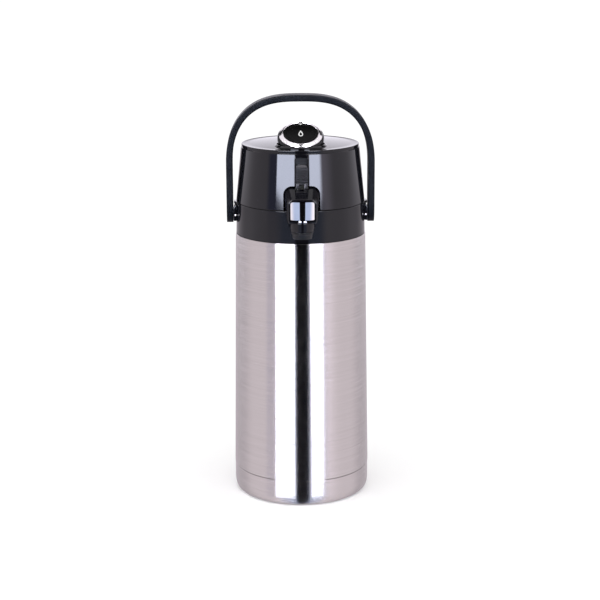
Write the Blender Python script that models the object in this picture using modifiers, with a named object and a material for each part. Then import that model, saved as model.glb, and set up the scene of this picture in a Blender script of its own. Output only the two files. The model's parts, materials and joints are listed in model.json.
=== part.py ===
"""Pump pot: an insulated steel jug with a push knob, a spout, a hinged lid and a bail handle.

Lengths in this script are millimetres and angles are degrees; MM turns them into metres where a
mesh is made. +Z is up, the pot stands on z = 0 with its axis on the Z axis, and the spout faces -Y.
"""
import math

import bmesh
import bpy
from mathutils import Matrix, Vector

MM = 0.001
GAP = 0.3                      # clearance between touching pieces

# ---- driving dimensions -------------------------------------------------------------------
BASE_R = 66.0                  # bottom band
SHELL_BOTTOM_R = 66.2          # steel tube at the seam
SHELL_TOP_R = 62.6             # steel tube under the collar
SHELL_WALL = 0.8
SEAM_Z = 25.4
SHELL_TOP_Z = 257.8
COLLAR_BOTTOM_R = 62.0
COLLAR_TOP_R = 61.3
COLLAR_WALL = 2.0
JOINT_Z = 287.9                # collar / lid joint
DECK_Z = 267.6                 # top of the deck ring inside the collar
DECK_T = 3.0
NECK_HOLE_R = 36.5             # hole in the deck ring, over the liner's mouth
LID_BOTTOM_R = 61.7
LID_RIM_R = 56.6
LID_RIM_Z = 340.5              # top of the cone, foot of the rim bead
LID_BEAD_Z = 343.6
LID_CROWN_Z = 345.6            # middle of the slightly domed top
LID_WALL = 2.0
LINER_R = 58.5
MOUTH_R = 36.0
LINER_TOP_Z = 262.0
KNOB_Y = -25.0                 # knob axis, towards the spout
KNOB_R = 22.0
KNOB_HOLE_R = 22.7
KNOB_TILT = 28.5               # slant of the knob's face towards the front
KNOB_FACE_Z = 353.9            # middle of the slanted face
RING_R = 20.5
DISC_R = 15.9
BELLOWS_R = 25.0
SPOUT_Y = -77.0                # spout barrel axis
BARREL_R = 11.2
DUCT_Z = 277.0                 # axis of the duct from the riser to the spout
RISER_Y = -20.0                # axis of the riser tube
HOOD_FRONT_Y = -88.0
HOOD_BACK_Y = -53.5
PANEL_HALF = 11.4              # chrome panel in the hood's front
PANEL_TOP_Z = 301.7
HOOD_SCREW_X = 10.4
HOOD_SCREW_Z = 281.5
NOTCH_HALF = 17.1
CHANNEL_HALF = 6.5             # latch channel
LATCH_Z = 322.0                # middle of the latch slider
HINGE_Y = 66.0                 # lid hinge axis at the back
HINGE_R = 4.0
PIVOT_Z = 279.0                # handle pivot axis
LUG_X = 64.2
LUG_HALF_Y = 12.0
PIN_R = 2.5
DOWEL_X = 62.2                 # cross dowel that keeps the pivot pin in the lug
DOWEL_Z = 275.8
DOWEL_R = 1.2
HANDLE_T = 6.2
HANDLE_W = 20.0
HANDLE_SIDE_X = 67.7           # middle of the handle's side straps
HANDLE_TOP_Z = 386.6           # middle of the handle's top
HANDLE_BEND_Z = 324.0          # where the straps start to bend inwards
HANDLE_END = 11.85             # from the pivot axis down to the handle's round ends

LID_SLOPE = math.degrees(math.atan2(LID_BOTTOM_R - LID_RIM_R, LID_RIM_Z - JOINT_Z))


# ---- scene and materials --------------------------------------------------------------------
def clear_scene():
    for old in list(bpy.data.objects):
        bpy.data.objects.remove(old)


clear_scene()
PARTS = bpy.data.collections.new("pump_pot")
CUTTERS = bpy.data.collections.new("cutters")
bpy.context.scene.collection.children.link(PARTS)
bpy.context.scene.collection.children.link(CUTTERS)


def material(name, colour, roughness, metallic=0.0):
    mat = bpy.data.materials.new(name)
    mat.use_nodes = True
    shader = mat.node_tree.nodes["Principled BSDF"]
    shader.inputs["Base Color"].default_value = (*colour, 1.0)
    shader.inputs["Roughness"].default_value = roughness
    shader.inputs["Metallic"].default_value = metallic
    return mat


STEEL = material("brushed_steel", (0.56, 0.52, 0.53), 0.32, 1.0)
LINER_STEEL = material("liner_steel", (0.60, 0.60, 0.60), 0.25, 1.0)
PIN_STEEL = material("pin_steel", (0.70, 0.70, 0.70), 0.15, 1.0)
CHROME = material("chrome", (0.85, 0.85, 0.86), 0.06, 1.0)
GLOSS_BLACK = material("gloss_black", (0.012, 0.012, 0.016), 0.12)
HANDLE_BLACK = material("handle_black", (0.018, 0.022, 0.030), 0.30)
MATT_BLACK = material("matt_black", (0.020, 0.020, 0.022), 0.50)
CLEAR_WHITE = material("natural_plastic", (0.75, 0.75, 0.72), 0.40)
SEAL_RUBBER = material("seal_rubber", (0.70, 0.70, 0.68), 0.60)
BLACK_RUBBER = material("black_rubber", (0.02, 0.02, 0.02), 0.80)


# ---- mesh helpers ----------------------------------------------------------------------------
def add_object(name, mesh, mat, place=None):
    """Link a mesh as a part, or as a hidden cutter when mat is None."""
    obj = bpy.data.objects.new(name, mesh)
    if place is not None:
        obj.matrix_world = place
    if mat is None:
        CUTTERS.objects.link(obj)
        obj.hide_render = True
        obj.display_type = "WIRE"
    else:
        PARTS.objects.link(obj)
        mesh.materials.append(mat)
    return obj


def at(x=0.0, y=0.0, z=0.0, rx=0.0, ry=0.0, rz=0.0):
    """Placement from millimetres and degrees."""
    turn = (Matrix.Rotation(math.radians(rz), 4, "Z")
            @ Matrix.Rotation(math.radians(ry), 4, "Y")
            @ Matrix.Rotation(math.radians(rx), 4, "X"))
    return Matrix.Translation(Vector((x, y, z)) * MM) @ turn


def finish_mesh(bm, name, smooth=True):
    bmesh.ops.recalc_face_normals(bm, faces=bm.faces)
    mesh = bpy.data.meshes.new(name)
    bm.to_mesh(mesh)
    bm.free()
    if smooth:
        mesh.shade_smooth()
        mesh.set_sharp_from_angle(angle=math.radians(35))
    return mesh


def turned(name, profile, mat, place=None, steps=48):
    """Body of revolution; the profile (r, z) runs down the outer side. It is a closed loop
    unless it starts and ends on the axis."""
    mesh = bpy.data.meshes.new(name)
    points = [(r * MM, 0.0, z * MM) for r, z in profile]
    edges = [(i, i + 1) for i in range(len(points) - 1)]
    if profile[0][0] > 0.0:
        edges.append((len(points) - 1, 0))
    mesh.from_pydata(points, edges, [])
    obj = add_object(name, mesh, mat, place)
    screw = obj.modifiers.new("turn", "SCREW")
    screw.axis = "Z"
    screw.steps = steps
    screw.render_steps = steps
    screw.use_merge_vertices = True
    screw.merge_threshold = 0.000005
    return obj


def rod(name, radius, start, end, mat, place=None, steps=20):
    """Plain round rod along its local Z axis."""
    return turned(name, [(0.0, end), (radius, end), (radius, start), (0.0, start)],
                  mat, place, steps)


def block(name, low, high, mat, place=None):
    bm = bmesh.new()
    bmesh.ops.create_cube(bm, size=1.0)
    for vert in bm.verts:
        vert.co = Vector([(lo + hi) / 2 + part * (hi - lo)
                          for lo, hi, part in zip(low, high, vert.co)]) * MM
    return add_object(name, finish_mesh(bm, name, smooth=False), mat, place)


def prism(name, outline, depth, mat, place=None):
    """Flat outline (x, z) pushed along Y from depth[0] to depth[1]."""
    bm = bmesh.new()
    near = [bm.verts.new(Vector((x, depth[0], z)) * MM) for x, z in outline]
    face = bm.faces.new(near)
    pushed = bmesh.ops.extrude_face_region(bm, geom=[face])["geom"]
    moved = [v for v in pushed if isinstance(v, bmesh.types.BMVert)]
    bmesh.ops.translate(bm, verts=moved, vec=Vector((0, depth[1] - depth[0], 0)) * MM)
    return add_object(name, finish_mesh(bm, name, smooth=False), mat, place)


def combine(obj, other, operation):
    step = obj.modifiers.new(other.name, "BOOLEAN")
    step.operation = operation
    step.object = other
    step.solver = "EXACT"


def cut(obj, *cutters):
    for cutter in cutters:
        combine(obj, cutter, "DIFFERENCE")


def join(obj, *others):
    for other in others:
        combine(obj, other, "UNION")


def arc(cx, cz, radius, start, end, count):
    """Points on a circular arc, in degrees from +X."""
    angles = [math.radians(start + (end - start) * i / count) for i in range(count + 1)]
    return [(cx + radius * math.cos(a), cz + radius * math.sin(a)) for a in angles]


def arch(half, top, corner, bottom, foot_half=None, joint=None, count=5):
    """Round-cornered arch outline, from its right foot over the top to its left foot."""
    foot = half if foot_half is None else foot_half
    knee = bottom if joint is None else joint
    right = [(foot, bottom)]
    if joint is not None:
        right.append((half, knee))
    right += arc(half - corner, top - corner, corner, 0, 90, count)
    return right + [(-x, z) for x, z in reversed(right)]


def coil(name, radius, wire, low, high, turns, mat, place):
    """Helical spring: a poly curve with twelve points a turn."""
    curve = bpy.data.curves.new(name, "CURVE")
    curve.dimensions = "3D"
    curve.bevel_depth = wire * MM
    curve.bevel_resolution = 1
    curve.use_fill_caps = True
    count = int(turns * 12)
    spline = curve.splines.new("POLY")
    spline.points.add(count)
    for i, point in enumerate(spline.points):
        angle = 2 * math.pi * turns * i / count
        z = low + wire + (high - low - 2 * wire) * i / count
        point.co = (radius * math.cos(angle) * MM, radius * math.sin(angle) * MM, z * MM, 1.0)
    obj = bpy.data.objects.new(name, curve)
    obj.matrix_world = place
    curve.materials.append(mat)
    PARTS.objects.link(obj)
    return obj


def lid_radius(z):
    return LID_BOTTOM_R + (LID_RIM_R - LID_BOTTOM_R) * (z - JOINT_Z) / (LID_RIM_Z - JOINT_Z)


# ---- body --------------------------------------------------------------------------------------
def make_body():
    seam_top = SEAM_Z + GAP
    shell_top = SHELL_TOP_Z - GAP
    turned("outer_shell", [
        (SHELL_TOP_R - SHELL_WALL, shell_top), (SHELL_TOP_R - 0.5, shell_top),
        (SHELL_TOP_R, shell_top - 0.8), (SHELL_BOTTOM_R, seam_top + 0.5),
        (SHELL_BOTTOM_R - 0.4, seam_top), (SHELL_BOTTOM_R - SHELL_WALL, seam_top)],
        STEEL, steps=48)
    tongue_r = SHELL_BOTTOM_R - SHELL_WALL - 0.45
    corner = [(BASE_R - 3.5 + 3.5 * math.cos(a), 9.5 + 8.9 * math.sin(a))
              for a in (math.radians(-d) for d in (0, 30, 55, 80))]
    turned("base_cup", [
        (0, 3.0), (61.0, 3.0), (63.0, 6.0), (tongue_r - 1.0, 10.0), (tongue_r - 1.0, 33.0),
        (tongue_r, 33.0), (tongue_r, SEAM_Z - GAP), (BASE_R - 0.3, SEAM_Z - GAP),
        (BASE_R, SEAM_Z - 0.8), *corner, (61.6, 0.6), (57.4, 0.6), (57.4, 1.5), (0, 1.5)],
        STEEL, steps=48)
    turned("foot_pad", [(0, 1.2), (57.0, 1.2), (57.0, 0), (0, 0)], BLACK_RUBBER, steps=40)
    turned("liner_cushion", [(34, 11.7), (48, 11.7), (48, 3.3), (34, 3.3)], BLACK_RUBBER,
           steps=32)
    inner = LINER_R - 1.0
    turned("inner_liner", [
        (0, 13.0), (49.0, 13.0), (54.5, 15.5), (inner, 21.0), (inner, 222.0), (54.5, 231.0),
        (47.0, 238.0), (39.5, 242.0), (MOUTH_R, 247.0), (MOUTH_R, LINER_TOP_Z),
        (MOUTH_R + 1, LINER_TOP_Z), (MOUTH_R + 1, 247.5), (40.2, 243.0), (47.6, 239.0),
        (55.4, 231.7), (LINER_R, 222.4), (LINER_R, 20.6), (55.2, 14.7), (49.2, 12.0), (0, 12.0)],
        LINER_STEEL, steps=32)
    turned("neck_seal", [(34.8, 264.3), (39.0, 264.3), (39.0, LINER_TOP_Z + GAP),
                         (34.8, LINER_TOP_Z + GAP)], SEAL_RUBBER, steps=32)


# ---- collar with lugs and hinge ears -------------------------------------------------------------
def make_collar():
    """Collar round the top of the body, with the deck ring that lies on its inner ledge."""
    inner = COLLAR_TOP_R - COLLAR_WALL + 0.1
    deck_low = DECK_Z - DECK_T
    ledge_r = inner - 1.2
    collar = turned("collar", [
        (inner, JOINT_Z), (COLLAR_TOP_R - 0.3, JOINT_Z), (COLLAR_TOP_R, JOINT_Z - 0.4),
        (COLLAR_BOTTOM_R, SHELL_TOP_Z + GAP), (61.4, SHELL_TOP_Z + GAP), (61.4, 250.0),
        (59.6, 250.0), (59.6, deck_low - 1.5), (ledge_r, deck_low - 1.5),
        (ledge_r, deck_low - GAP), (inner, deck_low - GAP)], GLOSS_BLACK, steps=48)
    turned("neck_deck", [(NECK_HOLE_R, DECK_Z), (inner - GAP, DECK_Z), (inner - GAP, deck_low),
                         (NECK_HOLE_R, deck_low)], MATT_BLACK, steps=48)
    for side, sign in (("left", -1), ("right", 1)):
        outline = [(sign * x, z) for x, z in
                   [(60.2, 270.5), (62.6, 270.0), (LUG_X, 270.0), (LUG_X, 282.0),
                    (62.8, 285.5), (60.2, 286.0)]]
        lug = prism("lug_" + side, outline, (-LUG_HALF_Y, LUG_HALF_Y), None)
        bore = rod("pin_bore_" + side, PIN_R + GAP, 60.4, 80.0, None,
                   at(z=PIVOT_Z, ry=sign * 90))
        dowel_bore = rod("dowel_bore_" + side, DOWEL_R + GAP, -20.0, 20.0, None,
                         at(x=sign * DOWEL_X, z=DOWEL_Z, rx=90), steps=16)
        join(collar, lug)
        cut(collar, bore, dowel_bore)
        ear = prism("ear_" + side, [(sign * 14.4, 279.0), (sign * 19.0, 279.0),
                                    (sign * 19.0, JOINT_Z - 0.02), (sign * 14.4, JOINT_Z - 0.02)],
                    (57.9, HINGE_Y), None)
        knuckle = rod("ear_knuckle_" + side, HINGE_R, 14.4, 19.0, None,
                      at(y=HINGE_Y, z=JOINT_Z, ry=sign * 90), steps=24)
        join(collar, ear, knuckle)
    hinge_bore = rod("collar_hinge_bore", 1.8, -30.0, 30.0, None,
                     at(y=HINGE_Y, z=JOINT_Z, ry=90))
    duct_hole = rod("duct_hole", 5.0, 50.0, 70.0, None, at(z=DUCT_Z, rx=90))
    cut(collar, hinge_bore, duct_hole)
    for side, sign in (("left", -1), ("right", 1)):
        hole = rod("hood_screw_hole_" + side, 1.6, 50.0, 66.0, None,
                   at(x=sign * HOOD_SCREW_X, z=HOOD_SCREW_Z, rx=90), steps=12)
        cut(collar, hole)
    rod("hinge_pin", 1.5, -18.6, 18.6, PIN_STEEL, at(y=HINGE_Y, z=JOINT_Z, ry=90))


# ---- riser and spout ---------------------------------------------------------------------------
def make_riser():
    """Cap on the mouth, the duct below it that leads to the spout, and the tube down to the drink."""
    top = JOINT_Z - 4.9
    hub_top = top - 1.8
    duct_r = 4.7
    hub_r = 6.5
    head = turned("riser_head", [
        (0, top), (43.4, top), (44.0, top - 0.6), (44.0, DECK_Z + GAP), (41.5, DECK_Z + GAP),
        (41.5, top - 2.4), (0, top - 2.4)], CLEAR_WHITE, steps=32)
    vent = rod("air_vent", 3.0, 270.0, 290.0, None, at(y=10.0), steps=16)
    duct_room = rod("duct_room", duct_r + 0.35, 18.0, 60.0, None, at(z=DUCT_Z, rx=90))
    hub_room = rod("hub_room", hub_r + 0.35, 260.0, hub_top + GAP, None, at(y=RISER_Y), steps=24)
    cut(head, vent, duct_room, hub_room)
    duct = rod("riser_duct", duct_r, 18.0, 57.6, CLEAR_WHITE, at(z=DUCT_Z, rx=90))
    hub = rod("riser_hub", hub_r, DECK_Z + 0.4, hub_top, None, at(y=RISER_Y), steps=24)
    join(duct, hub)
    channel = rod("duct_channel", 3.2, 20.5, 62.0, None, at(z=DUCT_Z, rx=90), steps=18)
    socket = rod("tube_socket", 4.3, 260.0, DUCT_Z + 0.45, None, at(y=RISER_Y))
    cut(duct, channel, socket)
    turned("siphon_tube", [(3.2, DUCT_Z - 4.0), (4.0, DUCT_Z - 4.0), (4.0, 24.0), (3.2, 24.0)],
           LINER_STEEL, at(y=RISER_Y), steps=20)
    turned("siphon_foot", [(4.3, 36.0), (5.4, 36.0), (6.4, 30.0), (6.4, 18.0), (4.3, 18.0)],
           CLEAR_WHITE, at(y=RISER_Y), steps=20)


def make_elbow():
    """Outlet pipe: forward out of the duct, then down into the nozzle."""
    bend = 6.0
    curve = bpy.data.curves.new("outlet_elbow", "CURVE")
    curve.dimensions = "3D"
    curve.bevel_depth = 2.8 * MM
    curve.bevel_resolution = 2
    turn = arc(SPOUT_Y + bend, DUCT_Z - bend, bend, 90, 180, 5)
    path = [(-57.9, DUCT_Z)] + turn + [(SPOUT_Y, 272.6 - 4.0)]
    spline = curve.splines.new("POLY")
    spline.points.add(len(path) - 1)
    for point, (y, z) in zip(spline.points, path):
        point.co = (0.0, y * MM, z * MM, 1.0)
    guide = bpy.data.objects.new("elbow_guide", curve)
    CUTTERS.objects.link(guide)
    bpy.context.view_layer.update()
    shape = guide.evaluated_get(bpy.context.evaluated_depsgraph_get())
    mesh = bpy.data.meshes.new_from_object(shape)
    bpy.data.objects.remove(guide)
    pipe = add_object("outlet_elbow", mesh, CLEAR_WHITE)
    mesh.shade_smooth()
    wall = pipe.modifiers.new("pipe_wall", "SOLIDIFY")
    wall.thickness = 0.8 * MM
    wall.offset = 0.0


def make_spout():
    back = arch(16.7, 311.0, 8.0, 271.5, foot_half=12.5, joint=288.0)
    bezel = 2.0
    front = arch(PANEL_HALF + bezel, PANEL_TOP_Z + bezel, 4.5, 282.0,
                 foot_half=PANEL_HALF + 1.2, joint=285.0)
    bm = bmesh.new()
    rings = [[bm.verts.new(Vector((x, y, z)) * MM) for x, z in outline]
             for outline, y in ((back, HOOD_BACK_Y), (front, HOOD_FRONT_Y))]
    count = len(back)
    for i in range(count):
        j = (i + 1) % count
        bm.faces.new((rings[0][i], rings[0][j], rings[1][j], rings[1][i]))
    bm.faces.new(rings[0])
    bm.faces.new(rings[1])
    hood = add_object("spout_hood", finish_mesh(bm, "spout_hood", smooth=False), GLOSS_BLACK)

    collar_room = turned("collar_room", [
        (0, JOINT_Z + GAP), (COLLAR_TOP_R + 0.35, JOINT_Z + GAP),
        (COLLAR_BOTTOM_R + 0.35, SHELL_TOP_Z), (0, SHELL_TOP_Z)], None, steps=48)
    pocket = rod("barrel_pocket", BARREL_R + 0.4, 262.0, 284.4, None, at(y=SPOUT_Y), steps=32)
    pipe_room = rod("pipe_room", 4.6, 50.0, 75.0, None, at(z=DUCT_Z, rx=90))
    window = prism("panel_window", arch(PANEL_HALF + 0.35, PANEL_TOP_Z + 0.35, 3.2, 284.7),
                   (-96.0, -86.0), None)
    inside = prism("hood_hollow", arch(9.0, 300.0, 3.0, 286.4), (-84.2, -50.0), None)
    catch = block("catch_pocket", (-6.2, -63.4, 307.6), (6.2, -50.0, 320.0), None)
    cut(hood, collar_room, pocket, pipe_room, window, inside, catch)
    for side, sign in (("left", -1), ("right", 1)):
        thread = rod("hood_thread_" + side, 1.4, 55.0, 68.8, None,
                     at(x=sign * HOOD_SCREW_X, z=HOOD_SCREW_Z, rx=90), steps=12)
        cut(hood, thread)
        turned("hood_screw_" + side, [
            (0, -55.6), (2.6, -55.6), (2.6, -56.9), (1.1, -56.9), (1.1, -67.5), (0, -67.5)],
            PIN_STEEL, at(x=sign * HOOD_SCREW_X, z=HOOD_SCREW_Z, rx=-90), steps=12)

    bulge_r = 26.0
    half = PANEL_HALF + 0.05
    low_z = 285.0
    crest_y = -89.6
    sweep = math.degrees(math.asin(half / bulge_r))
    face = list(arc(0, crest_y + bulge_r, bulge_r, -90 - sweep, -90 + sweep, 10))
    rim = [(half, -86.3), (-half, -86.3)]
    bm = bmesh.new()
    low = bm.faces.new([bm.verts.new(Vector((x, y, low_z)) * MM) for x, y in face + rim])
    pushed = bmesh.ops.extrude_face_region(bm, geom=[low])["geom"]
    moved = [v for v in pushed if isinstance(v, bmesh.types.BMVert)]
    bmesh.ops.translate(bm, verts=moved, vec=(0, 0, (PANEL_TOP_Z + 0.05 - low_z) * MM))
    panel = add_object("spout_panel", finish_mesh(bm, "spout_panel", smooth=False), CHROME)
    trim = prism("panel_trim", arch(PANEL_HALF, PANEL_TOP_Z, 3.0, 280.0), (-96.0, -80.0), None)
    combine(panel, trim, "INTERSECT")

    turned("spout_ring", [(8.5, 284.1), (11.1, 284.1), (11.1, 282.2), (8.5, 282.2)],
           CHROME, at(y=SPOUT_Y), steps=32)
    barrel = turned("spout_barrel", [
        (0, 281.9), (BARREL_R - 0.4, 281.9), (BARREL_R, 281.5), (BARREL_R, 273.0), (9.4, 273.0),
        (9.4, 280.8), (0, 280.8)], GLOSS_BLACK, at(y=SPOUT_Y), steps=32)
    inlet = rod("barrel_inlet", 3.5, 60.0, 72.0, None, at(z=DUCT_Z, rx=90))
    cut(barrel, inlet)
    turned("spout_nozzle", [
        (5.2, 272.7), (10.5, 272.7), (9.0, 266.5), (4.6, 266.5), (4.6, 268.0), (5.2, 268.2)],
        MATT_BLACK, at(y=SPOUT_Y), steps=32)


# ---- lid -----------------------------------------------------------------------------------------
def make_lid():
    bottom = JOINT_Z + 0.4
    crown = [(r, LID_BEAD_Z - 0.4 + (LID_CROWN_Z - LID_BEAD_Z + 0.4) * (1 - (r / 53.5) ** 2))
             for r in (0, 20, 38, 53.5)]
    roof_z = LID_BEAD_Z - 2.4
    lid = turned("lid_shell", [
        *crown, (54.6, LID_BEAD_Z), (55.6, LID_BEAD_Z - 0.6), (56.1, LID_BEAD_Z - 2.0),
        (56.0, LID_RIM_Z + 0.3), (LID_RIM_R, LID_RIM_Z - 0.3),
        (LID_BOTTOM_R, bottom + 0.4), (LID_BOTTOM_R - 0.3, bottom),
        (LID_BOTTOM_R - LID_WALL, bottom), (LID_RIM_R - LID_WALL + 0.1, LID_RIM_Z - 2.0),
        (LID_RIM_R - 3.8, roof_z), (0, roof_z)], GLOSS_BLACK, steps=48)
    guide = rod("knob_guide", 24.4, 327.0, roof_z + 1.0, None, at(y=KNOB_Y), steps=36)
    hole = rod("knob_hole", KNOB_HOLE_R, 320.0, 360.0, None, at(y=KNOB_Y), steps=40)
    join(lid, guide)
    cut(lid, hole)
    arm = block("hinge_arm", (-13.4, 59.0, bottom + 0.5), (13.4, HINGE_Y, bottom + 3.1), None)
    knuckle = rod("lid_knuckle", HINGE_R, -14.0, 14.0, None,
                  at(y=HINGE_Y, z=JOINT_Z, ry=90), steps=24)
    bore = rod("lid_hinge_bore", 1.8, -30.0, 30.0, None, at(y=HINGE_Y, z=JOINT_Z, ry=90))
    join(lid, arm, knuckle)
    cut(lid, bore)

    notch = prism("hood_notch", arch(NOTCH_HALF, 311.4, 8.3, 280.0), (-75.0, -52.9), None)
    slope = at(y=-lid_radius(LATCH_Z), z=LATCH_Z, rx=-LID_SLOPE)
    opening = block("channel_opening", (-CHANNEL_HALF, -8.0, -12.5), (CHANNEL_HALF, 3.0, 15.6),
                    None, slope)
    cut(lid, notch, opening)

    base_top = bottom + 2.9
    base = turned("lid_base", [
        (3.2, base_top), (58.4, base_top), (58.4, bottom + 0.3), (3.2, bottom + 0.3)],
        MATT_BLACK, steps=40)
    base_notch = prism("base_notch", arch(NOTCH_HALF, 311.4, 8.3, 280.0), (-75.0, -52.7), None)
    air_hole = rod("air_hole", 2.9, 280.0, 300.0, None, at(y=KNOB_Y), steps=16)
    cut(base, base_notch, air_hole)
    for place_name, angle in (("right", 20.0), ("rear", 90.0), ("left", 160.0)):
        x = 50.0 * math.cos(math.radians(angle))
        y = 50.0 * math.sin(math.radians(angle))
        post = turned("lid_post_" + place_name, [
            (1.5, 342.6), (3.4, 342.6), (3.4, base_top + GAP), (1.5, base_top + GAP)],
            None, at(x=x, y=y), steps=12)
        hole = rod("base_screw_hole_" + place_name, 1.6, 280.0, 300.0, None, at(x=x, y=y),
                   steps=12)
        join(lid, post)
        cut(base, hole)
        turned("lid_screw_" + place_name, [
            (0, 301.0), (1.2, 301.0), (1.2, bottom), (2.8, bottom), (2.8, bottom - 1.6),
            (0, bottom - 1.6)], PIN_STEEL, at(x=x, y=y), steps=12)
    turned("lid_gasket", [
        (36.0, bottom), (42.0, bottom), (42.6, JOINT_Z - 3.0), (42.0, JOINT_Z - 4.6),
        (36.0, JOINT_Z - 4.6)], SEAL_RUBBER, steps=32)
    turned("air_valve", [
        (0, 293.4), (2.4, 293.4), (2.4, bottom), (6.0, bottom), (6.0, bottom - 0.6),
        (2.0, bottom - 1.6), (0, bottom - 1.6)], SEAL_RUBBER, at(y=KNOB_Y), steps=20)
    return slope, base_top


def make_pump(base_top):
    """Bellows with its spring, and the knob that works them."""
    low = base_top + GAP
    high = 322.0
    folds = 4
    pitch = (high - low) / folds
    outer = []
    inner = []
    for i in range(folds):
        z = high - i * pitch
        outer += [(BELLOWS_R - 4.0, z), (BELLOWS_R, z - pitch / 2)]
        inner += [(BELLOWS_R - 5.2, z), (BELLOWS_R - 1.2, z - pitch / 2)]
    outer.append((BELLOWS_R - 4.0, low))
    inner.append((BELLOWS_R - 5.2, low))
    turned("bellows", [*outer, *reversed(inner)], SEAL_RUBBER, at(y=KNOB_Y), steps=24)
    coil("pump_spring", 12.0, 0.8, low, high, 5, PIN_STEEL, at(y=KNOB_Y))

    plate_top = high + GAP + 1.9
    plate = turned("knob_plate", [
        (0, plate_top), (20.2, plate_top), (20.2, high + GAP), (0, high + GAP)],
        MATT_BLACK, at(y=KNOB_Y), steps=32)
    screw_hole = rod("plate_screw_hole", 1.6, 315.0, 330.0, None, at(y=KNOB_Y), steps=16)
    cut(plate, screw_hole)

    face = at(y=KNOB_Y, z=KNOB_FACE_Z, rx=KNOB_TILT)
    knob = turned("knob_body", [
        (0, 366.0), (21.3, 366.0), (21.3, plate_top + GAP), (19.3, plate_top + GAP),
        (19.3, 332.0), (0, 332.0)], GLOSS_BLACK, at(y=KNOB_Y), steps=36)
    above_face = block("above_face", (-40, -60, -3.0), (40, 60, 60), None, face)
    cut(knob, above_face)
    puck = turned("knob_puck", [
        (0, 0), (20.7, 0), (21.6, -0.9), (KNOB_R, -2.4), (KNOB_R, -5.0), (21.4, -6.0),
        (0, -6.0)], None, face, steps=36)
    boss = turned("knob_boss", [
        (1.2, 334.0), (4.0, 334.0), (4.0, plate_top + GAP), (1.2, plate_top + GAP)],
        None, at(y=KNOB_Y), steps=20)
    join(knob, puck, boss)
    turned("knob_screw", [
        (0, 330.0), (1.0, 330.0), (1.0, high), (2.8, high), (2.8, high - 1.5), (0, high - 1.5)],
        PIN_STEEL, at(y=KNOB_Y), steps=16)

    ring = turned("lock_ring", [
        (16.3, 2.6), (17.0, 2.8), (17.8, 2.5), (RING_R, 0.8), (RING_R, GAP), (16.3, GAP)],
        CHROME, face, steps=40)
    index_slot = block("ring_index_slot", (-2.2, -22.0, 0.9), (2.2, -18.1, 5.0), None, face)
    cut(ring, index_slot)
    disc = turned("knob_disc", [
        (0, 2.2), (DISC_R - 0.3, 2.2), (DISC_R, 1.9), (DISC_R, GAP), (0, GAP)],
        GLOSS_BLACK, face, steps=40)
    v_notch = prism("disc_v_notch", [(-3.2, -1.0), (3.2, -1.0), (0, 2.4)], (0.6, 4.0), None,
                    face @ at(y=DISC_R, rx=90))
    cut(disc, v_notch)


def make_latch(slope):
    tray_front = 3.0
    tray_floor = 5.2
    tray_back = 6.4
    tray = block("latch_housing", (-8.2, tray_front, -9.2), (8.2, tray_back, 16.8),
                 MATT_BLACK, slope)
    room = block("latch_room", (-CHANNEL_HALF, 0.0, -12.0), (CHANNEL_HALF, tray_floor, 15.6),
                 None, slope)
    peg = block("spring_peg", (-1.7, 2.6, 4.4), (1.7, 5.6, 5.6), None, slope)
    cut(tray, room)
    join(tray, peg)

    ribs = 6
    pitch = 2.0
    side = [(4.8, -9.5), (-1.2, -9.5)]
    for i in range(ribs):
        z = -7.0 + pitch * i
        side += [(-1.4, z), (-2.1, z + 0.5), (-2.1, z + 1.1), (-1.4, z + 1.6)]
    side += [(-1.4, 6.6), (-0.2, 9.4), (4.8, 9.4)]
    bm = bmesh.new()
    profile = bm.faces.new([bm.verts.new(Vector((-5.75, y, z)) * MM) for y, z in side])
    pushed = bmesh.ops.extrude_face_region(bm, geom=[profile])["geom"]
    moved = [v for v in pushed if isinstance(v, bmesh.types.BMVert)]
    bmesh.ops.translate(bm, verts=moved, vec=(11.5 * MM, 0, 0))
    slider = add_object("latch_slider", finish_mesh(bm, "latch_slider", smooth=False),
                        MATT_BLACK, slope)
    outline = prism("latch_outline", arch(5.7, 9.2, 4.4, -20.0), (-6.0, 8.0), None, slope)
    combine(slider, outline, "INTERSECT")
    for side_name, sign in (("left", -1), ("right", 1)):
        low_x, high_x = sorted((sign * 2.3, sign * 5.2))
        prong = block("latch_prong_" + side_name, (low_x, -1.9, -13.2), (high_x, 0.6, -8.0),
                      None, slope)
        join(slider, prong)
    spring_pocket = block("spring_pocket", (-2.3, 1.6, -6.2), (2.3, 8.0, 6.2), None, slope)
    cut(slider, spring_pocket)
    coil("latch_spring", 1.2, 0.3, -5.9, 4.1, 4, PIN_STEEL, slope @ at(y=3.4))


# ---- handle ----------------------------------------------------------------------------------------
def handle_path():
    """Middle line of the bail in the XZ plane: straight straps, then a flattened arch."""
    low = PIVOT_Z - HANDLE_END + 0.15
    strap = [low, low + 1.0, low + 3.0, low + 6.0, PIVOT_Z, PIVOT_Z + 9.0, 305.0]
    across = 2 / 2.8
    upwards = 2 / 2.3
    steps = 28
    bow = []
    for i in range(steps + 1):
        t = math.pi * (1 - i / steps)
        c = math.cos(t)
        bow.append((HANDLE_SIDE_X * math.copysign(abs(c) ** across, c),
                    HANDLE_BEND_Z + (HANDLE_TOP_Z - HANDLE_BEND_Z) * math.sin(t) ** upwards))
    left = [(-HANDLE_SIDE_X, z) for z in strap]
    right = [(HANDLE_SIDE_X, z) for z in reversed(strap)]
    return left + bow + right


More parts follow.
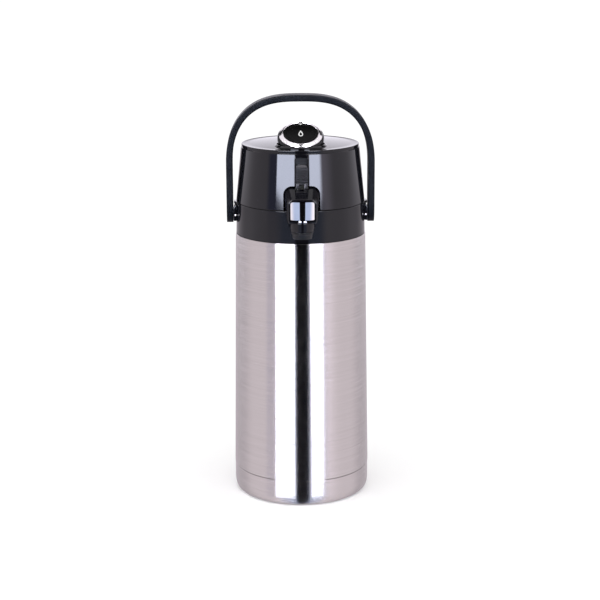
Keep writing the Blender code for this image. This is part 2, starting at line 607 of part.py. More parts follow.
def make_handle():
    path = [Vector((x, 0, z)) for x, z in handle_path()]
    half_t = HANDLE_T / 2
    inner_x = HANDLE_SIDE_X - half_t
    outer_x = HANDLE_SIDE_X + half_t
    eye_r = 4.5
    ease = 0.9
    bm = bmesh.new()
    rings = []
    for i, point in enumerate(path):
        ahead = path[min(i + 1, len(path) - 1)]
        behind = path[max(i - 1, 0)]
        along = (ahead - behind).normalized()
        out = Vector((-along.z, 0, along.x))
        half_w = HANDLE_W / 2
        if point.z < PIVOT_Z:
            half_w *= math.sqrt(1 - ((PIVOT_Z - point.z) / HANDLE_END) ** 2)
        edge = min(ease, half_w * 0.5)
        section = [(half_t, half_w - edge), (half_t - ease, half_w), (ease - half_t, half_w),
                   (-half_t, half_w - edge), (-half_t, edge - half_w), (ease - half_t, -half_w),
                   (half_t - ease, -half_w), (half_t, edge - half_w)]
        rings.append([bm.verts.new((point + out * o + Vector((0, w, 0))) * MM)
                      for o, w in section])
    for ring, nxt in zip(rings, rings[1:]):
        for k in range(8):
            j = (k + 1) % 8
            bm.faces.new((ring[k], ring[j], nxt[j], nxt[k]))
    bm.faces.new(rings[0])
    bm.faces.new(rings[-1])
    handle = add_object("handle", finish_mesh(bm, "handle"), HANDLE_BLACK)
    for side, sign in (("left", -1), ("right", 1)):
        turn = at(z=PIVOT_Z, ry=sign * 90)
        eye = rod("handle_eye_" + side, eye_r, 60.0, 80.0, None, turn, steps=24)
        cut(handle, eye)
        turned("handle_bush_" + side, [
            (PIN_R + GAP, outer_x - 0.2), (eye_r - GAP, outer_x - 0.2),
            (eye_r - GAP, inner_x + 0.2), (PIN_R + GAP, inner_x + 0.2)], CLEAR_WHITE, turn,
            steps=24)
        pin = rod("handle_pin_" + side, PIN_R, 60.7, outer_x - 0.4, PIN_STEEL, turn, steps=24)
        across = at(x=sign * DOWEL_X, z=DOWEL_Z, rx=90)
        groove = rod("pin_groove_" + side, DOWEL_R + GAP, -8.0, 8.0, None, across, steps=16)
        cut(pin, groove)
        end = LUG_HALF_Y + 0.6
        turned("pin_dowel_" + side, [
            (0, end), (0.7, end - 0.1), (DOWEL_R, end - 0.6), (DOWEL_R, 0.6 - end),
            (0.7, 0.1 - end), (0, -end)], PIN_STEEL, across, steps=20)


make_body()
make_collar()
make_riser()
make_elbow()
make_spout()
lid_slope_frame, lid_base_top = make_lid()
make_pump(lid_base_top)
make_latch(lid_slope_frame)
make_handle()
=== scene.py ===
"""Looks of the pump pot: brushed steel body, polished black head, chrome trim and a satin handle.

Lengths are millimetres and angles are degrees; MM turns them into metres once a mesh is done.
Only the studio (floor, camera and lamp) is set out in metres.
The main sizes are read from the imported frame, so the pieces fit the CAD solids that they replace.
"""
import json
import math

import bmesh
import bpy
from mathutils import Matrix, Vector


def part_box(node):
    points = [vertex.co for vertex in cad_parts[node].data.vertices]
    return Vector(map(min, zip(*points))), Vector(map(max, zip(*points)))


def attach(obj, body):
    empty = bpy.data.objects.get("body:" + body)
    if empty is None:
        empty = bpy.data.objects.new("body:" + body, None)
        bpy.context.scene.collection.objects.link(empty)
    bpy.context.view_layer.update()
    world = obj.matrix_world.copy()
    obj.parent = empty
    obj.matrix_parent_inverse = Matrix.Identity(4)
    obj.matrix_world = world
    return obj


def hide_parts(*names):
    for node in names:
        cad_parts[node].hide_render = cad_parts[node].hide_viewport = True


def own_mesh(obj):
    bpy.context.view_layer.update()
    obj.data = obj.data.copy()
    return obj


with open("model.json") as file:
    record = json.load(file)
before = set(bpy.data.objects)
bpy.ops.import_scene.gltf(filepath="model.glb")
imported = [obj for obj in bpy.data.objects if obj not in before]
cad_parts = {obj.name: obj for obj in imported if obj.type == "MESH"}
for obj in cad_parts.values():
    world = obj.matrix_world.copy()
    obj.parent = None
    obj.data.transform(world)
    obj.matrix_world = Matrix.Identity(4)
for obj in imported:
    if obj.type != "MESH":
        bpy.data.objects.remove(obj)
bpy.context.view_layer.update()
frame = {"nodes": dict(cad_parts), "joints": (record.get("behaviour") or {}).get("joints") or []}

MM = 0.001
GAP = 0.3                      # clearance between neighbouring pieces
ROOM = 0.35                    # clearance of a cut-out round the piece that it makes room for
STEPS = 192                    # sides of a large turned piece


# ---- sizes read from the frame ----
def box_mm(node):
    """Low and high corner of a node's box, in millimetres."""
    low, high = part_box(node)
    return low / MM, high / MM


def reach(node, low, high, front=0.0):
    """Largest radius about the pot's axis of a node's points between two heights, y below front."""
    found = 0.0
    for vert in frame["nodes"][node].data.vertices:
        x, y, z = vert.co / MM
        if low <= z <= high and y <= front:
            found = max(found, math.hypot(x, y))
    return found


joints = {joint["name"]: joint for joint in frame["joints"]}
PIVOT_Z = joints["handle_swing"]["pos_m"][2] / MM
HINGE_Y = joints["lid_hinge"]["pos_m"][1] / MM
JOINT_Z = joints["lid_hinge"]["pos_m"][2] / MM
KNOB_Y = joints["lock_ring_turn"]["pos_m"][1] / MM
KNOB_FACE_Z = joints["lock_ring_turn"]["pos_m"][2] / MM
KNOB_TILT = math.degrees(math.acos(joints["lock_ring_turn"]["axis"][2]))
LID_SLOPE = math.degrees(math.asin(joints["latch_slide"]["axis"][1]))
JOINT_TRAVEL = {name: joints[name]["range_m"][1] / MM for name in ("knob_press", "latch_slide")}

shell_low, shell_high = box_mm("outer_shell")
cup_low, cup_high = box_mm("base_cup")
collar_low = box_mm("collar")[0]
lid_high = box_mm("lid_shell")[1]
hood_low, hood_high = box_mm("spout_hood")
panel_low, panel_high = box_mm("spout_panel")
barrel_low, barrel_high = box_mm("spout_barrel")
nozzle_low, nozzle_high = box_mm("spout_nozzle")
trim_low, trim_high = box_mm("spout_ring")
handle_low, handle_high = box_mm("handle")
plate_low, plate_high = box_mm("neck_deck")
riser_low, riser_high = box_mm("riser_head")
duct_low, duct_high = box_mm("riser_duct")
knob_low = box_mm("knob_body")[0]

SHELL_BOTTOM_R = shell_high.x
SHELL_TOP_R = reach("outer_shell", shell_high.z - 2, shell_high.z)
SHELL_WALL = 0.8
COLLAR_FOOT_Z = shell_high.z + 2 * GAP
COLLAR_BOTTOM_R = reach("collar", COLLAR_FOOT_Z - 0.2, COLLAR_FOOT_Z + 0.2, -20)
COLLAR_TOP_R = reach("collar", JOINT_Z - 0.6, JOINT_Z + 0.1, -20)
LID_FOOT_Z = JOINT_Z + 0.4
LID_BOTTOM_R = reach("lid_shell", LID_FOOT_Z + 0.2, LID_FOOT_Z + 0.6, -20)
LID_RIM_Z = 340.5
LID_RIM_R = reach("lid_shell", LID_RIM_Z - 0.5, LID_RIM_Z, -20)
LID_CROWN_Z = lid_high.z
LID_BEAD_Z = LID_CROWN_Z - 2.0
HINGE_R = lid_high.y - HINGE_Y
SPOUT_Y = (barrel_low.y + barrel_high.y) / 2
BARREL_R = barrel_high.x

DUCT_Z = 277.0                 # axis of the outlet duct, which runs forward from the siphon tube
DUCT_R = 4.7
HUB_R = 6.5                    # the duct's hub over the siphon tube
RISER_Y = -20.0                # axis of the siphon tube
VENT_Y = 10.0                  # air hole in the riser cap
NECK_HOLE_R = 36.5             # hole in the deck ring, over the liner's mouth
HINGE_PIN_R = 1.5
SCREW_HOLE_R = 1.6
HOOD_SCREW_X = 10.4
HOOD_SCREW_Z = 281.5
HOOD_HALF = 16.7               # half width of the hood at its back
HOOD_TOP_Z = 311.0


# ---- mesh helpers ----
def at(x=0.0, y=0.0, z=0.0, rx=0.0, ry=0.0, rz=0.0):
    """Placement from millimetres and degrees."""
    turn = (Matrix.Rotation(math.radians(rz), 4, "Z")
            @ Matrix.Rotation(math.radians(ry), 4, "Y")
            @ Matrix.Rotation(math.radians(rx), 4, "X"))
    return Matrix.Translation((x, y, z)) @ turn


def arc(cx, cz, rx, rz, start, end, count):
    """Points on an elliptical arc, angles from +X."""
    angles = [math.radians(start + (end - start) * i / count) for i in range(count + 1)]
    return [(cx + rx * math.cos(a), cz + rz * math.sin(a)) for a in angles]


def soften(outline, closed=True, count=5, guard=False):
    """Replace each corner given as (a, b, radius) by a short curve of about that radius; guard
    adds a point just outside each end of the curve, which keeps the long faces flat in shading."""
    points = []
    total = len(outline)
    for i, corner in enumerate(outline):
        here = Vector(corner[:2])
        if len(corner) < 3 or (not closed and i in (0, total - 1)):
            points.append(tuple(here))
            continue
        before = Vector(outline[i - 1][:2]) - here
        after = Vector(outline[(i + 1) % total][:2]) - here
        half = before.angle(after) / 2
        run = min(corner[2] / math.tan(half), 0.45 * before.length, 0.45 * after.length)
        start = here + before.normalized() * run
        end = here + after.normalized() * run
        spare = [min(run, 0.4 * (side.length / 2 - run)) for side in (before, after)]
        if guard:
            points.append(tuple(start + before.normalized() * spare[0]))
        for k in range(count + 1):
            t = k / count
            points.append(tuple(start * (1 - t) ** 2 + here * 2 * t * (1 - t) + end * t ** 2))
        if guard:
            points.append(tuple(end + after.normalized() * spare[1]))
    return points


def shade(mesh, angle=32):
    mesh.shade_smooth()
    mesh.set_sharp_from_angle(angle=math.radians(angle))


def piece_from(bm, name, place=None, angle=32):
    """Object made of a bmesh, shaded smooth except where its faces meet at more than angle."""
    bmesh.ops.recalc_face_normals(bm, faces=bm.faces)
    mesh = bpy.data.meshes.new(name)
    bm.to_mesh(mesh)
    bm.free()
    if place is not None:
        mesh.transform(place)
    shade(mesh, angle)
    piece = bpy.data.objects.new(name, mesh)
    bpy.context.scene.collection.objects.link(piece)
    return piece


def skin(bm, rings, closed_rings=True, closed_path=False):
    """Faces between rows of vertices; a row of one vertex is a point."""
    pairs = list(zip(rings, rings[1:]))
    if closed_path:
        pairs.append((rings[-1], rings[0]))
    for a, b in pairs:
        count = max(len(a), len(b))
        for k in range(count if closed_rings else count - 1):
            j = (k + 1) % count
            corners = []
            for vert in (a[k % len(a)], a[j % len(a)], b[j % len(b)], b[k % len(b)]):
                if vert not in corners:
                    corners.append(vert)
            if len(corners) > 2:
                bm.faces.new(corners)


def lathe(name, outline, place=None, steps=STEPS, count=5):
    """Turned piece: a closed outline (r, z), or one that starts and ends on the axis."""
    closed = outline[0][0] > 0 and outline[-1][0] > 0
    bm = bmesh.new()
    rings = []
    for r, z in soften(outline, closed, count, guard=True):
        if r < 1e-4:
            rings.append([bm.verts.new((0, 0, z))])
        else:
            rings.append([bm.verts.new((r * math.cos(a), r * math.sin(a), z))
                          for a in (2 * math.pi * k / steps for k in range(steps))])
    skin(bm, rings, closed_path=closed)
    return piece_from(bm, name, place)


def rod(name, radius, start, end, place=None, steps=64, edge=0.0):
    """Round rod; it is turned a little so that its edges miss those of the pieces it meets."""
    ends = [(0, end), (radius, end, edge), (radius, start, edge), (0, start)]
    if not edge:
        ends = [point[:2] for point in ends]
    phase = Matrix.Rotation(math.radians(1.3), 4, "Z")
    return lathe(name, ends, phase if place is None else place @ phase, steps)


def loft(name, sections, place=None, angle=32):
    """Closed body through rings of 3-D points, flat at both ends."""
    bm = bmesh.new()
    rings = [[bm.verts.new(point) for point in section] for section in sections]
    skin(bm, rings)
    bm.faces.new(rings[0])
    bm.faces.new(rings[-1])
    return piece_from(bm, name, place, angle)


def prism(name, outline, depth, place=None, edge=0.0, angle=32):
    """Outline (x, z) pushed along Y, with its end edges rounded by edge."""
    steps = [(depth[0], edge), (depth[0] + edge * 0.3, edge * 0.3), (depth[0] + edge, 0),
             (depth[1] - edge, 0), (depth[1] - edge * 0.3, edge * 0.3), (depth[1], edge)]
    if not edge:
        steps = [(depth[0], 0), (depth[1], 0)]
    sections = [[(x, y, z) for x, z in inset(outline, shrink)] for y, shrink in steps]
    return loft(name, sections, place, angle)


def inset(outline, amount):
    """Outline moved inwards; it runs round either way."""
    if not amount:
        return outline
    count = len(outline)
    area = sum(outline[i - 1][0] * outline[i][1] - outline[i][0] * outline[i - 1][1]
               for i in range(count))
    side = 1 if area > 0 else -1
    moved = []
    for i in range(count):
        here = Vector(outline[i])
        a = (here - Vector(outline[i - 1])).normalized()
        b = (Vector(outline[(i + 1) % count]) - here).normalized()
        normal = Vector((-a.y - b.y, a.x + b.x)) * side
        scale = amount / max(normal.length * normal.normalized().dot(Vector((-a.y, a.x)) * side),
                             0.2)
        moved.append(tuple(here + normal * scale))
    return moved


def arch(half, top, corner, bottom, foot_half=None, knee=None, count=10):
    """Round-cornered arch outline, from its right foot over the top to its left foot."""
    foot = half if foot_half is None else foot_half
    right = [(foot, bottom)]
    if knee is not None:
        right.append((half, knee))
    right += arc(half - corner, top - corner, corner, corner, 0, 90, count)
    return right + [(-x, z) for x, z in reversed(right)]


def block(name, low, high, place=None, edge=0.0):
    """Box between two corners, its edges rounded by edge."""
    outline = [(low[0], low[2]), (high[0], low[2]), (high[0], high[2]), (low[0], high[2])]
    if edge:
        outline = soften([(x, z, 2 * edge) for x, z in outline], True, 4)
    return prism(name, outline, (low[1], high[1]), place, edge)


def carve(piece, *cutters, how="DIFFERENCE", angle=32):
    """Cut the cutters from a piece, or join or cross them with it, and remove them."""
    for cutter in cutters:
        step = piece.modifiers.new("carve", "BOOLEAN")
        step.operation = how
        step.object = cutter
        step.solver = "EXACT"
    bpy.context.view_layer.update()
    shape = piece.evaluated_get(bpy.context.evaluated_depsgraph_get())
    mesh = bpy.data.meshes.new_from_object(shape)
    piece.modifiers.clear()
    piece.data = mesh
    for cutter in cutters:
        bpy.data.objects.remove(cutter)
    shade(mesh, angle)
    return piece


def weld(piece, *others):
    return carve(piece, *others, how="UNION")


def dress(piece, finish, body, slot, *nodes):
    """Scale a piece to metres, give it its material and its body, and hide the nodes it stands for.
    """
    piece.data.transform(Matrix.Scale(MM, 4))
    piece.data.materials.clear()
    piece.data.materials.append(finish)
    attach(piece, body)
    if nodes:
        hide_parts(*nodes)
    return piece


# ---- materials ----
class Finish:
    """A Principled material with helpers for the nodes that vary it."""

    def __init__(self, name, roughness, metallic=0.0, specular=0.5, anisotropy=0.0):
        self.mat = bpy.data.materials.new(name)
        self.mat.use_nodes = True
        self.nodes = self.mat.node_tree.nodes
        self.links = self.mat.node_tree.links
        self.shader = self.nodes["Principled BSDF"]
        self.shader.inputs["Metallic"].default_value = metallic
        self.shader.inputs["Roughness"].default_value = roughness
        self.shader.inputs["Specular IOR Level"].default_value = specular
        self.shader.inputs["Anisotropic"].default_value = anisotropy
        self.place = self.nodes.new("ShaderNodeTexCoord")
        self.colour = None

    def noise(self, scale, detail=3.0, stretch=(1, 1, 1)):
        """Noise over the piece, in metres; stretch multiplies the frequency per axis."""
        mapping = self.nodes.new("ShaderNodeMapping")
        mapping.inputs["Scale"].default_value = stretch
        texture = self.nodes.new("ShaderNodeTexNoise")
        texture.inputs["Scale"].default_value = scale
        texture.inputs["Detail"].default_value = detail
        self.links.new(self.place.outputs["Object"], mapping.inputs["Vector"])
        self.links.new(mapping.outputs["Vector"], texture.inputs["Vector"])
        return texture.outputs["Fac"]

    def between(self, factor, low, high):
        """Spread the middle of a noise, 0.3 to 0.7, over low to high."""
        span = self.nodes.new("ShaderNodeMapRange")
        span.inputs["From Min"].default_value = 0.3
        span.inputs["From Max"].default_value = 0.7
        span.inputs["To Min"].default_value = low
        span.inputs["To Max"].default_value = high
        self.links.new(factor, span.inputs["Value"])
        return span.outputs["Result"]

    def tint(self, factor, dark, light):
        """Colour that varies between two tones."""
        mix = self.nodes.new("ShaderNodeMix")
        mix.data_type = "RGBA"
        mix.inputs["A"].default_value = (*dark, 1)
        mix.inputs["B"].default_value = (*light, 1)
        if self.colour is not None:
            self.links.new(self.colour, mix.inputs["A"])
        self.links.new(self.between(factor, 0, 1), mix.inputs["Factor"])
        self.colour = mix.outputs["Result"]
        self.links.new(self.colour, self.shader.inputs["Base Color"])

    def rough(self, factor, low, high):
        self.links.new(self.between(factor, low, high), self.shader.inputs["Roughness"])

    def lean(self, factor, amount):
        """Tip the surface up and down along Z, as the ridges between brush lines do."""
        offset = self.nodes.new("ShaderNodeMath")
        offset.operation = "MULTIPLY_ADD"
        offset.inputs[1].default_value = amount
        offset.inputs[2].default_value = -amount / 2
        self.links.new(factor, offset.inputs[0])
        upwards = self.nodes.new("ShaderNodeCombineXYZ")
        self.links.new(offset.outputs["Value"], upwards.inputs["Z"])
        surface = self.nodes.new("ShaderNodeNewGeometry")
        tipped = self.nodes.new("ShaderNodeVectorMath")
        self.links.new(surface.outputs["Normal"], tipped.inputs[0])
        self.links.new(upwards.outputs["Vector"], tipped.inputs[1])
        unit = self.nodes.new("ShaderNodeVectorMath")
        unit.operation = "NORMALIZE"
        self.links.new(tipped.outputs["Vector"], unit.inputs[0])
        self.links.new(unit.outputs["Vector"], self.shader.inputs["Normal"])

    def bump(self, factor, height, strength=1.0):
        node = self.nodes.new("ShaderNodeBump")
        node.inputs["Distance"].default_value = height * MM
        node.inputs["Strength"].default_value = strength
        self.links.new(factor, node.inputs["Height"])
        if self.shader.inputs["Normal"].is_linked:
            earlier = self.shader.inputs["Normal"].links[0].from_socket
            self.links.new(earlier, node.inputs["Normal"])
        self.links.new(node.outputs["Normal"], self.shader.inputs["Normal"])


def brushed_steel(name, dark, light, roughness, anisotropy):
    """Sheet steel brushed round the body: fine streaks that run along each turn."""
    finish = Finish(name, roughness, metallic=1.0, anisotropy=anisotropy)
    finish.shader.inputs["Anisotropic Rotation"].default_value = 0.25
    tangent = finish.nodes.new("ShaderNodeTangent")
    tangent.direction_type = "RADIAL"
    tangent.axis = "Z"
    finish.links.new(tangent.outputs["Tangent"], finish.shader.inputs["Tangent"])
    streaks = finish.noise(6.0, 5.0, (1, 1, 500))
    finish.tint(streaks, dark, light)
    finish.rough(finish.noise(6.0, 3.0, (1, 1, 900)), roughness * 0.93, roughness * 1.07)
    finish.lean(finish.noise(12.0, 1.0, (1, 1, 2500)), 1.5)
    return finish.mat


def moulded(name, dark, light, roughness, grain, height, specular=0.5):
    """Moulded plastic or rubber, slightly uneven in gloss and colour; grain is the frequency
    of its fine bumps and height their depth in millimetres."""
    finish = Finish(name, roughness, specular=specular)
    finish.tint(finish.noise(35.0, 4.0), dark, light)
    finish.rough(finish.noise(60.0, 5.0), roughness * 0.85, roughness * 1.15)
    finish.bump(finish.noise(grain, 2.0), height)
    return finish.mat


def polished_metal(name, dark, light, roughness):
    finish = Finish(name, roughness, metallic=1.0)
    finish.tint(finish.noise(90.0, 4.0), dark, light)
    finish.rough(finish.noise(140.0, 5.0), roughness * 0.6, roughness * 1.5)
    finish.bump(finish.noise(700.0, 2.0), 0.002)
    return finish.mat


STEEL = brushed_steel("body_steel", (0.51, 0.482, 0.470), (0.56, 0.530, 0.516), 0.18, 1.0)
LINER_STEEL = brushed_steel("drawn_steel", (0.50, 0.50, 0.50), (0.62, 0.62, 0.62), 0.30, 0.6)
PIN_STEEL = polished_metal("bright_steel", (0.70, 0.70, 0.71), (0.86, 0.86, 0.87), 0.12)
CHROME = polished_metal("chrome_plate", (0.84, 0.84, 0.85), (0.94, 0.94, 0.95), 0.045)
RING_CHROME = polished_metal("satin_chrome", (0.84, 0.84, 0.84), (0.96, 0.96, 0.96), 0.16)
GLOSS_BLACK = moulded("piano_black", (0.004, 0.004, 0.006), (0.006, 0.006, 0.009), 0.05, 260,
                      0.0015, specular=0.35)
HANDLE_BLACK = moulded("satin_slate", (0.004, 0.005, 0.008), (0.006, 0.008, 0.012), 0.42, 1500,
                       0.008, specular=0.13)
MATT_BLACK = moulded("grained_black", (0.006, 0.007, 0.009), (0.011, 0.012, 0.015), 0.36, 1800,
                     0.012, specular=0.3)
LATCH_BLACK = moulded("ribbed_black", (0.018, 0.018, 0.023), (0.028, 0.028, 0.034), 0.33, 1800,
                      0.004, specular=0.4)
LABEL_BLACK = moulded("printed_black", (0.0015, 0.0015, 0.0015), (0.003, 0.003, 0.003), 0.30, 1200,
                      0.004, specular=0.08)
PRINT_WHITE = moulded("printed_white", (0.80, 0.80, 0.80), (0.92, 0.92, 0.92), 0.45, 1500, 0.004)
NATURAL = moulded("natural_plastic", (0.70, 0.70, 0.67), (0.80, 0.80, 0.77), 0.35, 900, 0.008)
SILICONE = moulded("silicone", (0.62, 0.62, 0.60), (0.74, 0.74, 0.72), 0.55, 1400, 0.012)
RUBBER = moulded("black_rubber", (0.012, 0.012, 0.013), (0.026, 0.026, 0.027), 0.75, 1600, 0.03)

NODE_FINISH = {
    "inner_liner": LINER_STEEL, "siphon_tube": LINER_STEEL, "liner_cushion": RUBBER,
    "neck_seal": SILICONE, "siphon_foot": NATURAL, "outlet_elbow": NATURAL, "air_valve": SILICONE,
    "knob_plate": MATT_BLACK, "knob_screw": PIN_STEEL, "latch_housing": MATT_BLACK,
    "hood_screw_left": PIN_STEEL, "hood_screw_right": PIN_STEEL,
}


def finish_inner_nodes():
    """The hidden CAD nodes stay as they are and take a finished material."""
    for node, finish in NODE_FINISH.items():
        mesh = frame["nodes"][node].data
        mesh.materials.clear()
        mesh.materials.append(finish)


# ---- steel body ----
def make_body():
    """Steel tube, the band below it and the rubber pad under that."""
    top_z = shell_high.z
    foot_z = shell_low.z
    shell = lathe("steel_shell", [
        (SHELL_TOP_R - SHELL_WALL, top_z), (SHELL_TOP_R, top_z, 0.4),
        (SHELL_BOTTOM_R, foot_z, 0.5), (SHELL_BOTTOM_R - SHELL_WALL, foot_z)], steps=256)
    dress(shell, STEEL, "pot", "brushed_steel", "outer_shell")

    band_r = cup_high.x
    band_top = foot_z - 2 * GAP
    tongue_r = SHELL_BOTTOM_R - SHELL_WALL - 0.45
    corner = arc(band_r - 3.5, 9.5, 3.5, 8.9, 0, -80, 14)
    cup = lathe("steel_base", [
        (0, 3.0), (61.0, 3.0, 1.0), (63.0, 6.0, 1.0), (tongue_r - 1, 10.0),
        (tongue_r - 1, cup_high.z), (tongue_r, cup_high.z), (tongue_r, band_top),
        (band_r, band_top, 0.5), *corner,
        (61.6, cup_low.z, 0.3), (57.4, cup_low.z), (57.4, 1.5), (0, 1.5)], steps=256)
    dress(cup, STEEL, "pot", "brushed_steel", "base_cup")

    pad_r = box_mm("foot_pad")[1].x
    grooves = []
    for r in (52.0, 44.0, 20.0):
        grooves += [(r, 0.0, 0.2), (r, 0.6, 0.2), (r - 3.0, 0.6, 0.2), (r - 3.0, 0.0, 0.2)]
    pad = lathe("foot_pad_disc", [(0, 1.2), (pad_r, 1.2, 0.2), (pad_r, 0, 0.4), *grooves, (0, 0)],
                steps=128)
    dress(pad, RUBBER, "pot", "black_rubber", "foot_pad")


# ---- collar ----
DOWEL_R = 1.2
LUG_X = box_mm("pin_dowel_right")[1].x + 0.8
LUG_HALF_Y = 12.0
DOWEL_X = LUG_X - 2.0
DOWEL_Z = box_mm("pin_dowel_right")[1].z - DOWEL_R
PIN_R = box_mm("handle_pin_right")[1].y
HINGE_FRAME = at(0, HINGE_Y, JOINT_Z, ry=90)
DUCT_FRAME = at(z=DUCT_Z, rx=90)


def handle_lug(side):
    """Lug that holds the handle's pin on one side, and the small spur above it."""
    lug_outline = soften([(side * x, z, 1.2) for x, z in [
        (60.2, 270.5), (LUG_X, 270.0), (LUG_X, 282.0), (62.8, 285.5), (60.2, 286.0)]], True, 4)
    spur_outline = soften([(side * x, z, 0.3) for x, z in [
        (60.4, 284.4), (61.7, 284.8), (63.9, 287.6), (63.3, 288.0), (61.3, 286.6),
        (60.4, 286.6)]], True, 3)
    return [prism("lug", lug_outline, (-LUG_HALF_Y, LUG_HALF_Y), None, 0.5),
            prism("spur", spur_outline, (-9.0, 9.0), None, 0.12)]


def hinge_ear(side):
    """Ear that holds the lid's pin on one side, and its round end."""
    ear = soften([(HINGE_Y + HINGE_R * 0.5, JOINT_Z - 0.1), (HINGE_Y, 279.0, 3.0),
                  (57.9, 279.0), (57.9, JOINT_Z - 0.1)], True, 4)
    low, high = sorted((side * 14.4, side * 19.0))
    sections = [[(x, y, z) for y, z in inset(ear, shrink)]
                for x, shrink in ((low, 0.4), (low + 0.4, 0), (high - 0.4, 0), (high, 0.4))]
    return [loft("ear", sections), rod("ear_knuckle", HINGE_R, low, high, HINGE_FRAME, 48, 0.5)]


def make_collar():
    """Collar with its handle lugs, the spurs over them and the two hinge ears."""
    inner = COLLAR_TOP_R - 1.9
    collar = lathe("collar_ring", [
        (inner, JOINT_Z, 0.4), (COLLAR_TOP_R, JOINT_Z, 0.6), (COLLAR_BOTTOM_R, COLLAR_FOOT_Z, 0.7),
        (61.4, COLLAR_FOOT_Z), (61.4, collar_low.z, 0.3), (59.6, collar_low.z, 0.3),
        (59.6, plate_low.z - 1.5), (inner - 1.2, plate_low.z - 1.5),
        (inner - 1.2, plate_low.z - GAP), (inner, plate_low.z - GAP)], steps=256)
    extra = []
    bores = []
    for side in (-1, 1):
        extra += handle_lug(side) + hinge_ear(side)
        bores.append(rod("pin_bore", PIN_R + GAP, 60.3, 80.0, at(z=PIVOT_Z, ry=side * 90)))
        bores.append(rod("dowel_bore", DOWEL_R + GAP, -20.0, 20.0,
                         at(side * DOWEL_X, 0, DOWEL_Z, rx=90), 32))
    weld(collar, *extra)
    bores.append(rod("hinge_bore", HINGE_PIN_R + GAP, -30.0, 30.0, HINGE_FRAME, 32))
    bores.append(rod("duct_hole", DUCT_R + GAP, 50.0, 70.0, DUCT_FRAME, 48))
    for side in (-1, 1):
        bores.append(rod("screw_hole", SCREW_HOLE_R, 50.0, 66.0,
                         at(side * HOOD_SCREW_X, 0, HOOD_SCREW_Z, rx=90), 24))
    carve(collar, *bores)
    dress(collar, GLOSS_BLACK, "pot", "gloss_black", "collar")


def make_deck_and_hinge_pin():
    plate = lathe("deck_ring", [
        (NECK_HOLE_R, plate_high.z, 0.6), (plate_high.x, plate_high.z, 0.6),
        (plate_high.x, plate_low.z, 0.3), (NECK_HOLE_R, plate_low.z, 0.3)], steps=160)
    dress(plate, MATT_BLACK, "pot", "matt_black", "neck_deck")
    pin = rod("lid_hinge_pin", HINGE_PIN_R, -18.6, 18.6, HINGE_FRAME, 48, 0.4)
    dress(pin, PIN_STEEL, "pot", "pin_steel", "hinge_pin")


def make_riser():
    """Cap over the mouth, and the duct that leads the drink through it to the spout."""
    top = riser_high.z
    foot = riser_low.z + GAP
    rim = 44.0
    head = lathe("riser_cap", [
        (0, top), (rim, top, 1.2), (rim, foot, 0.4), (rim - 2.5, foot), (rim - 2.5, top - 2.4),
        (0, top - 2.4)], steps=128)
    hub_top = duct_high.z - 0.6
    carve(head, rod("duct_room", DUCT_R + ROOM, 18.0, 60.0, DUCT_FRAME, 48),
          rod("hub_room", HUB_R + ROOM, 255.0, hub_top + 0.9, at(y=RISER_Y), 48),
          rod("air_vent", 3.0, 270.0, 290.0, at(y=VENT_Y), 32))
    dress(head, NATURAL, "pot", "natural_plastic", "riser_head")
    duct = rod("outlet_duct", DUCT_R, 18.0, 57.6, DUCT_FRAME, 48, 0.3)
    weld(duct, rod("hub", HUB_R, duct_low.z + 0.1, hub_top, at(y=RISER_Y), 48, 0.4))
    carve(duct, rod("duct_channel", 3.2, 20.5, 62.0, DUCT_FRAME, 34),
          rod("tube_socket", 4.3, 255.0, DUCT_Z + 0.45, at(y=RISER_Y), 38))
    dress(duct, NATURAL, "pot", "natural_plastic", "riser_duct")


# ---- spout ----
BEZEL = 2.0                    # black frame round the chrome panel


def hood_section(depth):
    """Outline of the hood between its back (0) and its front (1)."""
    back = arch(HOOD_HALF, HOOD_TOP_Z, 8.0, 271.5, 12.5, 288.0)
    front = arch(panel_high.x + BEZEL, panel_high.z + BEZEL, 4.5, 282.0, panel_high.x + 1.2, 285.0)
    return [(a[0] + (b[0] - a[0]) * depth, a[1] + (b[1] - a[1]) * depth)
            for a, b in zip(back, front)]


def make_hood():
    """Cowl over the spout, lofted from its back outline to the frame round the panel."""
    back_y = hood_high.y
    front_y = hood_low.y
    length = back_y - front_y
    stations = [(0.0, 0.0), (0.35, 0.0), (0.7, 0.0), (1 - 1.3 / length, 0.0),
                (1 - 0.8 / length, 0.12), (1 - 0.35 / length, 0.42), (1 - 0.1 / length, 0.85),
                (1.0, 1.3)]
    sections = []
    for depth, shrink in stations:
        outline = inset(hood_section(depth), shrink)
        sections.append([(x, back_y - length * depth, z) for x, z in outline])
    hood = loft("spout_cowl", sections, angle=28)
    room = lathe("collar_room", [
        (0, JOINT_Z + GAP), (COLLAR_TOP_R + ROOM, JOINT_Z + GAP),
        (COLLAR_BOTTOM_R + ROOM, COLLAR_FOOT_Z), (0, COLLAR_FOOT_Z)], steps=256)
    pocket = rod("barrel_pocket", BARREL_R + 0.4, 262.0, 284.4, at(y=SPOUT_Y), 96)
    pipe = rod("pipe_room", 4.6, 50.0, 75.0, DUCT_FRAME, 48)
    window = prism("window", arch(panel_high.x + ROOM, panel_high.z + ROOM, 3.2, 284.7),
                   (front_y - 8, front_y + 2.0))
    hollow = prism("hollow", arch(9.0, 300.0, 3.0, 286.4), (front_y + 3.8, back_y + 3.5))
    catch = block("catch", (-6.2, -63.4, 307.6), (6.2, -50.0, 320.0))
    threads = [rod("thread", 1.4, 55.0, 68.8, at(side * HOOD_SCREW_X, 0, HOOD_SCREW_Z, rx=90), 24)
               for side in (-1, 1)]
    carve(hood, room, pocket, pipe, window, hollow, catch, *threads, angle=28)
    dress(hood, GLOSS_BLACK, "pot", "gloss_black", "spout_hood")


